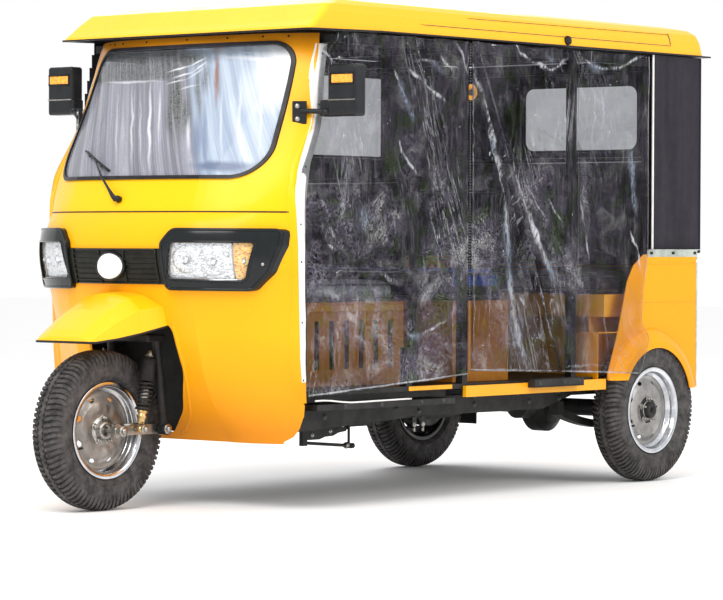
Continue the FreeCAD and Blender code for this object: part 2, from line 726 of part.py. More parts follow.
BACKS = [
    # x half, y0, y1, z0, z1
    (392, 1196, 1256, 830, 1180),
    (490, 1712, 1760, 870, 1150),
    (545, 2660, 2740, 832, 1290),
]
node("seat_backs", group(*[box(f"-{w}", w, y0, y1, z0, z1) for w, y0, y1, z0, z1 in BACKS]))
FRAMES = [
    # y0, y1, z1 : back frames behind the driver and the middle bench
    (1257, 1281, 1180),
    (1761, 1785, 1150),
]
stands = []
for y0, y1, z1 in FRAMES:
    for sx in (-1, 1):
        stands.append(box(str(sx * 380 - 12), str(sx * 380 + 12), y0, y1, "floorHigh", z1))
node("back_frames", group(*stands))

node("engine", box("-190", "190", "700", "1050", "272", "600"))

# ---------------------------------------------------------------- rear axle and drive
wx = D("wheelBase")
zr = D("wheelRad")
ax = tube((-502, wx, zr), (502, wx, zr), "34")
dif = revolve([[("-74", "0"), ("-74", "34"), ("-62", "70"), ("-30", "104"), ("30", "104"), ("62", "70"), ("74", "34"),
                ("74", "0")]], "85", "wheelBase", "wheelRad")
nosep = tube((85, wx - 170, zr + 6), (85, wx, zr), "52")
drums = []
for sx in (-1, 1):
    drums.append(tube((sx * 502, wx, zr), (sx * 553, wx, zr), "106"))
    drums.append(tube((sx * 552, wx, zr), (sx * 608, wx, zr), "axleRad"))
node("rear_axle", fuse(ax, dif, nosep))
node("rear_hubs", group(fuse(drums[0], drums[1]), fuse(drums[2], drums[3])))
node("drive_shaft", tube((85, 1050.5, 296), (85, wx - 171, zr + 6), "22"))

# leaf springs hang under the rails and pass below the axle tube
def leaf(x0, x1, t0, t1):
    f, mid, b = (2065.0, 300.0), (2458.0, 238.0), (2786.0, 318.0)
    a = Part.Arc(V(x0, f[0], f[1] - t0), V(x0, mid[0], mid[1] - t0), V(x0, b[0], b[1] - t0)).toShape()
    c = Part.Arc(V(x0, f[0], f[1] - t1), V(x0, mid[0], mid[1] - t1), V(x0, b[0], b[1] - t1)).toShape()
    l0 = Part.makeLine(V(x0, f[0], f[1] - t0), V(x0, f[0], f[1] - t1))
    l1 = Part.makeLine(V(x0, b[0], b[1] - t0), V(x0, b[0], b[1] - t1))
    face = Part.Face(Part.Wire([a, l1, c, l0]))
    return face.extrude(V(x1 - x0, 0, 0))


spring = leaf(428, 472, 0, 30)
lug_f = Part.makeBox(44, 36, 46, V(428, 2050, 276))
lug_m = Part.makeBox(44, 80, 9.5, V(428, 2418, 236))
lug_r = Part.makeBox(44, 36, 54, V(428, 2758, 290))
node("leaf_springs", pair(feature(spring.fuse([lug_f, lug_m, lug_r]))))

flap = box("482", "598", "2746", "2752", "170", "404")
node("mudflaps", pair(flap))
node("tail_lamps", pair(box("500", "570", "2825.3", "2846", "690", "840")))
carrier = pad("XZ", [[("-170", "460"), ("170", "460"), ("170", "580"), ("-170", "580")]], "3",
              y="2828.3")
doc.recompute()
h = []
for sx in (-1, 1):
    c = doc.addObject("Part::Cylinder", fresh("Bore"))
    c.setExpression("Radius", "Dims.plateHole")
    c.Height = 30
    c.Placement = FreeCAD.Placement(V(0, 0, 0), FreeCAD.Rotation(V(0, 0, 1), V(0, 1, 0)))
    place(c, f"{sx}*plateSpan/2", "axleY + 2815", "520", None)
    h.append(c)
node("plate_carrier", cut(carrier, fuse(*h)))
hitch = pad("XY", [[("-34", "2795"), ("34", "2795"), ("34", "2864"), ("-34", "2864")]], "12", z="349.5")
eye = doc.addObject("Part::Cylinder", fresh("Bore"))
eye.setExpression("Radius", "Dims.eyeRad")
eye.Height = 60
place(eye, "0", "axleY + 2842", "330")
node("tow_eye", cut(hitch, eye))

# ---------------------------------------------------------------- dashboard and leg shield
dash = prism_x([(396, 905), (404, 1000), (440, 1035), (490, 1010), (496, 940), (470, 905)], -560, 560)
shield = Part.makeBox(1150, 5, 482, V(-575, 444, 421))
col_clear = Part.makeCylinder(38, 900, head, axis)
legs = [Part.makeCylinder(20, 300, V(sx * 250, 380, 640), V(0, 1, 0)) for sx in (-1, 1)]
dash = dash.fuse(shield).common(plan_loft(NOSE, -D("skin") - 0.5).fuse(
    Part.makeBox(1400, 200, 1000, V(-700, 430, 250)))).cut(col_clear)
for sx in (-1, 1):
    dash = dash.cut(Part.makeBox(90, 200, 530, V(sx * 236 - 45, 420, 300)))
node("dashboard", feature(dash))

# ---------------------------------------------------------------- mirrors and wiper
def mirror_part(move, inner):
    shell = Part.makeBox(130, 60, 180, V(627, 472, 1388))
    shell = shell.makeFillet(12, shell.Edges)
    lobe = Part.makeBox(756 - inner, 56, 58, V(inner, 474, 1388))
    lobe = lobe.makeFillet(8, lobe.Edges)
    shell = shell.fuse(lobe).cut(Part.makeBox(110, 6, 130, V(638, 526, 1428)))
    shell.translate(move)
    arm = bar((548, 444, 1396), V(628, 480, 1404) + move, 9)
    plate = Part.makeBox(50, 14, 80, V(-25, -7, -40))
    plate.rotate(V(0, 0, 0), V(0, 0, 1), 34)
    plate.translate(V(543, 443, 1390))
    return arm.fuse(plate).cut(plan_loft(SCREEN, 0.3)).fuse(shell).removeSplitter()


MIRRORS = [
    # side, shift of the housing in x and z, inner end of its lower lobe before the shift
    (1, 16, -12, 590),
    (-1, -15, 22, 622),
]
housings = []
panes = []
for side_of, dx, dz, inner in MIRRORS:
    m1 = feature(mirror_part(V(dx, 0, dz), inner))
    p1 = box(f"{639 + dx}", f"{747 + dx}", "526", "531", f"{1429 + dz}", f"{1557 + dz}")
    housings.append(m1 if side_of > 0 else mirrored(m1))
    panes.append(p1 if side_of > 0 else mirrored(p1))
node("mirrors", group(*housings))
node("mirror_glasses", group(*panes))

def front_y(x, z, off):
    """Station of the shell's front face at (x, z), off millimetres outside it."""
    rows = NOSE + SCREEN[1:]
    for r0, r1 in zip(rows, rows[1:]):
        if r0[0] <= z <= r1[0]:
            t = (z - r0[0]) / (r1[0] - r0[0])
            y0 = r0[1] + t * (r1[1] - r0[1])
            y1 = r0[2] + t * (r1[2] - r0[2])
            return y0 + (y1 - y0) * (x / X1) ** 2 - off
    raise RuntimeError("height outside the shell")


def over(x, z, off):
    return (x, front_y(x, z, off), z)


wiper = bar(over(-26, 1086, -14), over(-26, 1086, 30), 11)
wiper = wiper.fuse(bar(over(-26, 1086, 22), over(-60, 1112, 27), 7))
wiper = wiper.fuse(bar(over(-60, 1112, 27), over(-212, 1226, 22), 4))
wiper = wiper.fuse(bar(over(-300, 1262, 22), over(-125, 1192, 22), 5))
wiper = wiper.cut(plan_loft(NOSE[-2:], 0.3)).cut(plan_loft(SCREEN, 0.3)).cut(plan_loft(SCREEN, 7.3).common(hole))
node("wiper", feature(wiper))

link = Part.makeBox(18, 24, 115, V(291, 733, 203)).fuse([
    Part.makeBox(133.7, 24, 18, V(291, 733, 300)),
    bar((300, 745, 214), (300, 1010, 192), 6),
    bar((300, 998, 184), (300, 998, 268), 5),
    Part.makeBox(18, 124, 12, V(291, 990, 262)),
    Part.makeBox(18, 26, 62, V(291, 1088, 268))])
node("brake_linkage", feature(link))

# ---------------------------------------------------------------- steering assembly
crown = Part.makeBox(250, 96, 26, V(-125, 118, 587))
crown = crown.makeFillet(8, crown.Edges)
legs = []
fork = crown.fuse(Part.makeCylinder(D("columnRad"), 500, head, axis))
for sx in (-1, 1):
    x = sx * D("armX")
    fork = fork.fuse(bar((x, 176, 592), (x, D("pivotY"), 276), 15))
    fork = fork.fuse(Part.makeCylinder(20, 26, V(x - 13, D("pivotY"), 280), V(1, 0, 0)))
node("fork", feature(fork))
arms = []
shocks = []
for sx in (-1, 1):
    x = sx * (D("armX") - 22)
    arm = Part.makeBox(12, D("pivotY") - 20, 34, V(x - 6, 20, 263))
    arm = arm.fuse([Part.makeCylinder(22, 12, V(x - 6, D("pivotY"), 280), V(1, 0, 0)),
                    Part.makeCylinder(24, 12, V(x - 6, 0, 280), V(1, 0, 0)),
                    Part.makeBox(12, 24, 34, V(x - 6, 0, 263))])
    arms.append(arm)
    x2 = sx * D("armX")
    s = bar((x2, D("shockY"), 292), (x2, D("shockTopY"), D("shockTopZ")), 9)
    low_pt = V(x2, D("shockY"), 292)
    top_pt = V(x2, D("shockTopY"), D("shockTopZ"))
    d = (top_pt - low_pt).normalize()
    s = s.fuse([Part.makeCylinder(15, 70, low_pt + d * 22, d),
                Part.makeCylinder(28, 150, low_pt + d * 92, d),
                Part.makeCylinder(11, 20, V(x2 - 10, D("shockY"), 284), V(1, 0, 0))])
    shocks.append(s)
axle = Part.makeCylinder(D("axleRad") - 1, 250, V(-125, 0, 280), V(1, 0, 0))
pins = [Part.makeCylinder(8, 46, V(sx * D("armX") - 23, D("shockY"), 284), V(1, 0, 0)) for sx in (-1, 1)]
lead = axle.fuse(arms + pins)
node("leading_arms", feature(lead.cut(fork)))
gap = lead
node("front_shocks", group(*[feature(s.cut(fork).cut(lead)) for s in shocks]))
top = head + axis * 500
grip_y = 560
bars = Part.makeBox(110, 60, 34, V(-55, top.y - 34, top.z - 14))
for sx in (-1, 1):
    bars = bars.fuse(bar((sx * 45, top.y, top.z), (sx * 210, top.y + 40, top.z + 18), 11))
    bars = bars.fuse(bar((sx * 210, top.y + 40, top.z + 18), (sx * 330, grip_y, top.z + 6), 11))
node("handlebar", feature(bars.cut(Part.makeCylinder(D("columnRad"), 501, head, axis))))
grips = []
for sx in (-1, 1):
    a = V(sx * 330, grip_y, top.z + 6)
    b = V(sx * 210, top.y + 40, top.z + 18)
    d = (a - b).normalize()
    grips.append(feature(Part.makeCylinder(17, 110, a - d * 100, d).cut(
        Part.makeCylinder(11, 100, a - d * 100, d))))
node("grips", group(*grips))

# ---------------------------------------------------------------- wheels
# profiles as (along the axle, radius), one table for all three wheels
TYRE = [
    ("-42.5", "157"), ("-43", "171.5"), ("-54", "181"), ("-tyreHalf", "206"), ("-tyreHalf", "226"),
    ("-58", "250"), ("-46", "wheelRad-9"), ("-24", "wheelRad-1"), ("0", "wheelRad"), ("24", "wheelRad-1"),
    ("46", "wheelRad-9"), ("58", "250"), ("tyreHalf", "226"), ("tyreHalf", "206"), ("54", "181"),
    ("43", "171.5"), ("42.5", "157"),
]
RIM = [
    ("-rimHalf", "rimRad"), ("-46", "rimRad"), ("-44", "156"), ("-22", "154"), ("-15", "139"),
    ("15", "139"), ("22", "154"), ("44", "156"), ("46", "rimRad"), ("rimHalf", "rimRad"),
    ("48", "151"), ("25", "149"), ("18", "134"), ("8", "133"), ("22", "98"), ("22", "52"),
    ("44", "52"), ("44", "boreRad"), ("-26", "boreRad"), ("-26", "52"), ("15", "52"), ("15", "96"),
    ("1", "128"), ("-18", "134"), ("-25", "149"), ("-48", "151"),
]
WHEELS = [
    # name, x, station, mirrored disc
    ("front", "0", "0", False),
    ("rear_left", "trackHalf", "wheelBase", False),
    ("rear_right", "0 - trackHalf", "wheelBase", True),
]
for name, x, y, flip in WHEELS:
    node(f"{name}_tyre", revolve([TYRE], x, y, "wheelRad"))
    prof = [("-" + u if not u.startswith("-") else u[1:], v) for u, v in RIM] if flip else RIM
    prof = [("0" if u == "-0" else u, v) for u, v in prof]
    node(f"{name}_rim", revolve([prof], x, y, "wheelRad"))

# ---------------------------------------------------------------- checks and files
doc.recompute()
bad = [o.Name + ":" + o.Label for o in doc.Objects if "Invalid" in o.State or "Error" in o.State]
if bad:
    raise RuntimeError("failed objects: " + ", ".join(bad))
os.makedirs("parts", exist_ok=True)
for old in os.listdir("parts"):
    if old.endswith(".step") and old[:-5] not in NODES:
        os.remove(os.path.join("parts", old))
lo = V(1e9, 1e9, 1e9)
hi = V(-1e9, -1e9, -1e9)
for name, obj in NODES.items():
    shape = obj.Shape
    if shape.isNull() or not shape.isValid() or not shape.Solids:
        raise RuntimeError(f"{name}: bad shape")
    bb = shape.BoundBox
    lo = V(min(lo.x, bb.XMin), min(lo.y, bb.YMin), min(lo.z, bb.ZMin))
    hi = V(max(hi.x, bb.XMax), max(hi.y, bb.YMax), max(hi.z, bb.ZMax))
    print(f"{name:22s} solids {len(shape.Solids):2d}  volume {shape.Volume / 1e6:8.3f} dm3  "
          f"y {bb.YMin:7.1f} {bb.YMax:7.1f}  z {bb.ZMin:6.1f} {bb.ZMax:6.1f}")
    shape.exportStep(os.path.join("parts", name + ".step"))
print("nodes", len(NODES), "box", [round(v, 1) for v in (*lo, *hi)])
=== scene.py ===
import bpy
import bmesh
import math
import random
from mathutils import Vector, Matrix, noise
from mathutils.bvhtree import BVHTree


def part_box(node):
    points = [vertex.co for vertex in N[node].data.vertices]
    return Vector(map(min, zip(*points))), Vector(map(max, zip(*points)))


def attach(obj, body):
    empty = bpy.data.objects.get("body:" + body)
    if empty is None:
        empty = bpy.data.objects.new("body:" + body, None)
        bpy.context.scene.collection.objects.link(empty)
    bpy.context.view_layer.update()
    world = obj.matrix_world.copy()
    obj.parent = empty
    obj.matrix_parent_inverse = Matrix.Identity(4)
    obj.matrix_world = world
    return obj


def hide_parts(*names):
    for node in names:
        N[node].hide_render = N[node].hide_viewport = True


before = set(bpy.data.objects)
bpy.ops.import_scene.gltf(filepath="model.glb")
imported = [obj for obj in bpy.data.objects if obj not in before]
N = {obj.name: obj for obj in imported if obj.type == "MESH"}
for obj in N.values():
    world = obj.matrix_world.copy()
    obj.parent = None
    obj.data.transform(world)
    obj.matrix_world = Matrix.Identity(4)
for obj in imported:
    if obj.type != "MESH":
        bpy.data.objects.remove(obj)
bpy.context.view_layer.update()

# Metres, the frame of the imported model. Stations are measured from the front
# axle; A moves a station into the frame.
A = -1.305


def S(x, st, z):
    return Vector((x, st + A, z))


# ------------------------------------------------------------------ camera
def camera():
    yaw, pitch, roll = math.radians(40.24862), math.radians(1.05367), math.radians(0.22292)
    d = Vector((-math.sin(yaw) * math.cos(pitch), math.cos(yaw) * math.cos(pitch), -math.sin(pitch)))
    r = Vector((math.cos(yaw), math.sin(yaw), 0.0))
    u = r.cross(d)
    r2 = r * math.cos(roll) + u * math.sin(roll)
    u2 = -r * math.sin(roll) + u * math.cos(roll)
    cam = bpy.data.objects.new("view", bpy.data.cameras.new("view"))
    bpy.context.scene.collection.objects.link(cam)
    cam.data.sensor_fit = "HORIZONTAL"
    cam.data.sensor_width = 36.0
    cam.data.lens = 3200.0 / 723.0 * 36.0
    cam.data.clip_start = 0.5
    cam.data.clip_end = 100.0
    m = Matrix((r2, u2, -d)).transposed().to_4x4()
    m.translation = Vector((7.91628, -9.23448, 0.94312))
    cam.matrix_world = m
    bpy.context.scene.camera = cam
    return cam


camera()
bpy.context.scene.view_settings.view_transform = "Standard"
bpy.context.scene.view_settings.look = "None"


# ------------------------------------------------------------------ materials
class Mat:
    """A Principled material; constants go on the shader's own sockets."""

    def __init__(self, name, **consts):
        self.m = bpy.data.materials.new(name)
        self.m.use_nodes = True
        self.t = self.m.node_tree
        self.t.nodes.clear()
        self.out = self.t.nodes.new("ShaderNodeOutputMaterial")
        self.b = self.t.nodes.new("ShaderNodeBsdfPrincipled")
        self.t.links.new(self.b.outputs[0], self.out.inputs[0])
        self.tc = self.t.nodes.new("ShaderNodeTexCoord")
        self.co = self.tc.outputs["Object"]
        self.bumps = None
        for k, v in consts.items():
            self.b.inputs[k.replace("_", " ")].default_value = v

    def put(self, kind, ins=(), **props):
        n = self.t.nodes.new(kind)
        for k, v in props.items():
            setattr(n, k, v)
        for key, v in ins:
            if hasattr(v, "links"):
                self.t.links.new(v, n.inputs[key])
            else:
                n.inputs[key].default_value = v
        return n

    def map(self, scale=(1, 1, 1), rot=(0, 0, 0), loc=(0, 0, 0), src=None):
        return self.put("ShaderNodeMapping", [("Vector", src or self.co), ("Scale", scale), ("Rotation", rot),
                                              ("Location", loc)]).outputs[0]

    def noise(self, scale, detail=3.0, rough=0.5, dist=0.0, src=None, kind="FBM"):
        n = self.put("ShaderNodeTexNoise", [("Vector", src or self.co), ("Scale", scale), ("Detail", detail),
                                            ("Roughness", rough), ("Distortion", dist)])
        if kind != "FBM":
            n.noise_type = kind
        return n.outputs[0]

    def cells(self, scale, src=None, feature="F1", out=0):
        return self.put("ShaderNodeTexVoronoi", [("Vector", src or self.co), ("Scale", scale)],
                        feature=feature).outputs[out]

    def wave(self, scale, src=None, dist=0.0, detail=2.0, direction="X", profile="SIN"):
        return self.put("ShaderNodeTexWave", [("Vector", src or self.co), ("Scale", scale), ("Distortion", dist),
                                              ("Detail", detail)], bands_direction=direction,
                        wave_profile=profile).outputs[1]

    def spot(self, p0, p1, wide, flat="yz", src=None):
        """Soft stretched spot from p0 to p1 in the plane named, 1 at its middle line's centre and 0 outside."""
        d0, d1 = p1[0] - p0[0], p1[1] - p0[1]
        ln = math.hypot(d0, d1) * 0.62
        c0, c1 = (p0[0] + p1[0]) / 2, (p0[1] + p1[1]) / 2
        if flat == "yz":
            loc, rot, scale = (0.6, c0, c1), (math.atan2(-d0, d1), 0, 0), (10.0, wide, ln)
        else:
            loc, rot, scale = (c0, 0.0, c1), (0, math.atan2(d0, d1), 0), (wide, 10.0, ln)
        v = self.put("ShaderNodeMapping", [("Vector", src or self.co), ("Location", loc), ("Rotation", rot), ("Scale", scale)],
                     vector_type="TEXTURE").outputs[0]
        return self.put("ShaderNodeTexGradient", [("Vector", v)], gradient_type="SPHERICAL").outputs["Fac"]

    def spots(self, rows, flat="yz", src=None, dy=0.0):
        out = None
        for y0, z0, y1, z1, wide, strong in rows:
            s = self.math("MULTIPLY", self.spot((y0 + dy, z0), (y1 + dy, z1), wide, flat, src), strong * 1.35, clamp=True)
            s = self.math("MINIMUM", s, strong)
            out = s if out is None else self.math("MAXIMUM", out, s)
        return out

    def wobble(self, scale, amount):
        """Coordinates bent by noise, so that what is placed with them isn't ruled."""
        n = self.put("ShaderNodeTexNoise", [("Vector", self.co), ("Scale", scale), ("Detail", 2.0), ("Roughness", 0.5)]).outputs["Color"]
        c = self.put("ShaderNodeVectorMath", [(0, n), (1, (0.5, 0.5, 0.5))], operation="SUBTRACT").outputs[0]
        k = self.put("ShaderNodeVectorMath", [(0, c), ("Scale", amount)], operation="SCALE").outputs[0]
        return self.put("ShaderNodeVectorMath", [(0, self.co), (1, k)], operation="ADD").outputs[0]

    def ramp(self, fac, *stops):
        n = self.put("ShaderNodeValToRGB", [("Fac", fac)])
        e = n.color_ramp.elements
        while len(e) < len(stops):
            e.new(0.5)
        for i, (p, c) in enumerate(stops):
            e[i].position = p
            e[i].color = (*c, 1.0) if hasattr(c, "__len__") else (c, c, c, 1.0)
        return n.outputs[0]

    def math(self, op, a, b=0.0, clamp=False):
        n = self.put("ShaderNodeMath", operation=op, use_clamp=clamp)
        for i, v in enumerate((a, b)):
            if hasattr(v, "links"):
                self.t.links.new(v, n.inputs[i])
            else:
                n.inputs[i].default_value = v
        return n.outputs[0]

    def mix(self, fac, a, b, blend="MIX"):
        n = self.put("ShaderNodeMix", data_type="RGBA", blend_type=blend)
        for i, v in ((0, fac), (6, a), (7, b)):
            if hasattr(v, "links"):
                self.t.links.new(v, n.inputs[i])
            elif i == 0:
                n.inputs[0].default_value = v
            else:
                n.inputs[i].default_value = (*v, 1.0)
        return n.outputs[2]

    def xyz(self, src=None):
        return self.put("ShaderNodeSeparateXYZ", [("Vector", src or self.co)]).outputs

    def to(self, name, sock):
        self.t.links.new(sock, self.b.inputs[name])
        return self

    def bump(self, height, strength=0.2, dist=0.001):
        n = self.put("ShaderNodeBump", [("Height", height), ("Strength", strength), ("Distance", dist)])
        if self.bumps is not None:
            self.t.links.new(self.bumps, n.inputs["Normal"])
        self.bumps = n.outputs[0]
        self.t.links.new(self.bumps, self.b.inputs["Normal"])
        return self


def paint(name, base, dark, rough=0.30, coat=0.18, grime=0.35):
    m = Mat(name, Coat_Weight=coat, Coat_Roughness=0.10, Specular_IOR_Level=0.28)
    f = m.noise(2.2, 5, 0.6)
    col = m.ramp(f, (0.3, dark), (0.7, base))
    spots = m.ramp(m.noise(60, 6, 0.7), (0.70, 0.0), (0.80, 1.0))
    low = m.ramp(m.xyz()[2], (0.0, 1.0), (0.42, 0.0))
    dirt = m.math("MULTIPLY", m.math("MULTIPLY", spots, low), grime)
    m.to("Base Color", m.mix(dirt, col, (0.10, 0.07, 0.045)))
    m.to("Roughness", m.ramp(m.noise(14, 4), (0.3, rough * 0.8), (0.7, rough * 1.35)))
    m.bump(m.noise(420, 2), 0.04, 0.0004).bump(m.noise(3.0, 2), 0.10, 0.004)
    return m.m


def paint_with_painted_shade(name, rows, rough=0.30, coat=0.06):
    """Yellow paint with painted shade: its tone changes with height, from rows of (height, tone)."""
    base = paint(name, rows[0][1], rows[0][1], rough, coat)
    t = base.node_tree
    b = [n for n in t.nodes if n.bl_idname == "ShaderNodeBsdfPrincipled"][0]
    mixer = b.inputs["Base Color"].links[0].from_node
    m = Mat.__new__(Mat)
    m.m, m.t, m.b = base, t, b
    m.tc = [n for n in t.nodes if n.bl_idname == "ShaderNodeTexCoord"][0]
    m.co = m.tc.outputs["Object"]
    b.inputs["Specular IOR Level"].default_value = 0.13
    # painted shade: the base colour follows the height through the rows
    z = m.math("ADD", m.xyz()[2], m.math("MULTIPLY", m.math("SUBTRACT", m.noise(2.2, 3, 0.6), 0.5), 0.10))
    stops = [(h / 2.0, c) for h, c in rows]
    t.links.new(m.ramp(m.math("MULTIPLY", z, 0.5), *stops), mixer.inputs[6])
    return base


YEL = (0.96, 0.545, 0.006)
YEL_D = (0.94, 0.495, 0.005)
M = {}
M["yellow"] = paint("yellow_paint", YEL, YEL_D)
# painted shade: the nose's yellow turns darker and oranger towards the bottom
M["yellow_nose"] = paint_with_painted_shade("yellow_nose_paint_with_painted_shade", [(0.28, (0.66, 0.230, 0.010)), (0.36, (0.78, 0.290, 0.008)), (0.46, (0.86, 0.345, 0.006)), (0.62, (0.92, 0.410, 0.006)),
    (0.84, (0.91, 0.385, 0.006)), (0.96, (0.92, 0.430, 0.006)), (1.06, (0.93, 0.480, 0.006))])
# painted shadow: the frame's yellow turns dark orange-brown at the top, under the roof
M["yellow_frame"] = paint_with_painted_shade("yellow_frame_paint_with_painted_shade", [(1.03, (0.93, 0.500, 0.006)), (1.20, (0.94, 0.500, 0.006)), (1.34, (0.93, 0.460, 0.006)), (1.56, (0.90, 0.400, 0.006)),
    (1.630, (0.72, 0.270, 0.008)), (1.662, (0.45, 0.170, 0.010)), (1.70, (0.28, 0.110, 0.012))])
# painted shade: the rear body's yellow is a little darker towards the bottom
M["yellow_rear"] = paint_with_painted_shade("yellow_rear_paint_with_painted_shade", [(0.20, (0.84, 0.310, 0.006)), (0.50, (0.86, 0.345, 0.006)), (0.90, (0.88, 0.360, 0.006))])
M["yellow_sill"] = paint("yellow_sill_paint", (0.90, 0.42, 0.006), (0.84, 0.36, 0.006))
M["yellow_seat"] = paint("yellow_seat_paint", (0.90, 0.37, 0.012), (0.60, 0.20, 0.012), 0.40, 0.05, 0.9)


def satin(name, base, light, rough=0.45, scale=30.0, bump=0.15, metal=0.0, fine=350.0, coat=0.0, spec=0.22):
    """Moulded plastic, rubber or painted steel: two close tones, grain and worn gloss."""
    m = Mat(name, Metallic=metal, Coat_Weight=coat, Specular_IOR_Level=spec)
    f = m.noise(scale, 5, 0.65)
    m.to("Base Color", m.ramp(f, (0.35, base), (0.72, light)))
    m.to("Roughness", m.ramp(m.noise(scale * 0.6, 4), (0.3, rough * 0.8), (0.7, min(1, rough * 1.25))))
    m.bump(m.noise(fine, 3), bump, 0.0006)
    return m.m


M["black_plastic"] = satin("black_moulding", (0.010, 0.011, 0.013), (0.018, 0.020, 0.023), 0.30, 18, 0.08, coat=0.05)
M["dark_gloss"] = satin("dark_gloss_moulding", (0.006, 0.008, 0.009), (0.010, 0.013, 0.014), 0.16, 9, 0.03, coat=0.12)
M["grille_black"] = satin("grille_moulding", (0.008, 0.008, 0.006), (0.022, 0.022, 0.015), 0.42, 26, 0.12)
M["rubber"] = satin("black_rubber", (0.008, 0.008, 0.008), (0.020, 0.019, 0.019), 0.55, 40, 0.25)
M["seal"] = satin("seal_rubber", (0.009, 0.008, 0.010), (0.024, 0.021, 0.024), 0.38, 22, 0.12)
M["steel_black"] = satin("chassis_paint", (0.010, 0.010, 0.010), (0.034, 0.033, 0.031), 0.42, 14, 0.25)
M["cast"] = satin("cast_metal", (0.055, 0.055, 0.055), (0.12, 0.12, 0.12), 0.55, 30, 0.5, metal=0.7, fine=160)
M["zinc"] = satin("zinc_steel", (0.30, 0.29, 0.27), (0.52, 0.50, 0.47), 0.32, 45, 0.10, metal=1.0, spec=0.5)
M["brass"] = satin("yellow_zinc", (0.52, 0.33, 0.12), (0.80, 0.62, 0.34), 0.30, 60, 0.10, metal=1.0)
M["grey_plastic"] = satin("dash_plastic", (0.050, 0.050, 0.054), (0.080, 0.080, 0.086), 0.55, 20, 0.35, fine=900)
M["white_trim"] = satin("white_edge_trim", (0.74, 0.72, 0.70), (0.90, 0.88, 0.86), 0.45, 26, 0.12)
M["zip_grey"] = satin("zip_tape", (0.16, 0.16, 0.16), (0.30, 0.30, 0.30), 0.45, 60, 0.10)
def board_mat():
    """Orange painted board with painted shade: darker under the middle of the cab, lighter towards the rear bench."""
    m = Mat("orange_board", Specular_IOR_Level=0.22)
    f = m.noise(12, 5, 0.65)
    near = m.ramp(f, (0.35, (0.48, 0.165, 0.018)), (0.72, (0.70, 0.290, 0.030)))
    back = m.ramp(f, (0.35, (0.86, 0.400, 0.030)), (0.72, (0.96, 0.500, 0.040)))
    st = m.xyz()[1]
    # painted shade: the boards further forward take the darker tones
    m.to("Base Color", m.mix(m.ramp(st, (0.66, 0.0), (0.80, 1.0)), near, back))
    m.to("Roughness", m.ramp(m.noise(7, 4), (0.3, 0.32), (0.7, 0.50)))
    m.bump(m.noise(350, 3), 0.10, 0.0006)
    return m.m


M["orange_board"] = board_mat()


def chrome(name, base, rough, scratch=0.25, spin=False):
    m = Mat(name, Metallic=1.0)
    f = m.noise(9, 6, 0.7)
    m.to("Base Color", m.ramp(f, (0.30, tuple(c * 0.55 for c in base)), (0.62, base)))
    m.to("Roughness", m.ramp(m.noise(35, 5, 0.7), (0.3, rough * 0.7), (0.75, rough * 1.8)))
    m.bump(m.noise(120, 4), scratch, 0.0008)
    return m.m


M["rim_bright"] = chrome("rim_plating", (0.74, 0.76, 0.80), 0.14, 0.15)


def rear_rim_with_painted_shade(name, base, rough, scratch):
    """As the front wheel's, but with painted shade: the side that faces the axle is dark and not metallic."""
    mat = chrome(name, base, rough, scratch)
    m = Mat.__new__(Mat)
    m.m, m.t = mat, mat.node_tree
    m.b = [n for n in m.t.nodes if n.bl_idname == "ShaderNodeBsdfPrincipled"][0]
    m.tc = [n for n in m.t.nodes if n.bl_idname == "ShaderNodeTexCoord"][0]
    m.co = m.tc.outputs["Object"]
    x = m.xyz()[0]
    nx = m.xyz(m.tc.outputs["Normal"])[0]
    deep = m.ramp(m.math("ABSOLUTE", x), (0.574, 1.0), (0.580, 0.0))
    face = m.ramp(m.math("MULTIPLY", m.math("MULTIPLY", x, nx), -1.0), (0.10, 0.0), (0.20, 1.0))
    # painted shade on the deep barrel and on the faces turned towards the axle
    dark = m.math("MAXIMUM", deep, face)
    src = m.b.inputs["Base Color"].links[0].from_socket
    m.to("Base Color", m.mix(dark, src, (0.016, 0.015, 0.014)))
    m.to("Metallic", m.math("SUBTRACT", 1.0, dark))
    return mat


# rear rims get painted shade on the side that faces the axle
M["rear_rim_bright"] = rear_rim_with_painted_shade("rear_rim_plating_with_painted_shade", (0.74, 0.76, 0.80), 0.14, 0.15)
M["rear_rim_disc"] = rear_rim_with_painted_shade("rear_rim_disc_plating_with_painted_shade", (0.42, 0.405, 0.39), 0.40, 0.45)
M["rim_disc"] = chrome("rim_disc_plating", (0.36, 0.335, 0.31), 0.42, 0.45)
M["silver_strip"] = chrome("aluminium_strip", (0.72, 0.78, 0.70), 0.22, 0.10)


def tyre_mat():
    m = Mat("tyre_rubber", Specular_IOR_Level=0.35)
    dust = m.ramp(m.noise(26, 6, 0.7), (0.38, (0.022, 0.0205, 0.0205)), (0.70, (0.098, 0.090, 0.088)))
    m.to("Base Color", dust)
    m.to("Roughness", m.ramp(m.noise(50, 4), (0.3, 0.55), (0.7, 0.85)))
    m.bump(m.noise(600, 3), 0.30, 0.0006)
    return m.m


M["tyre"] = tyre_mat()


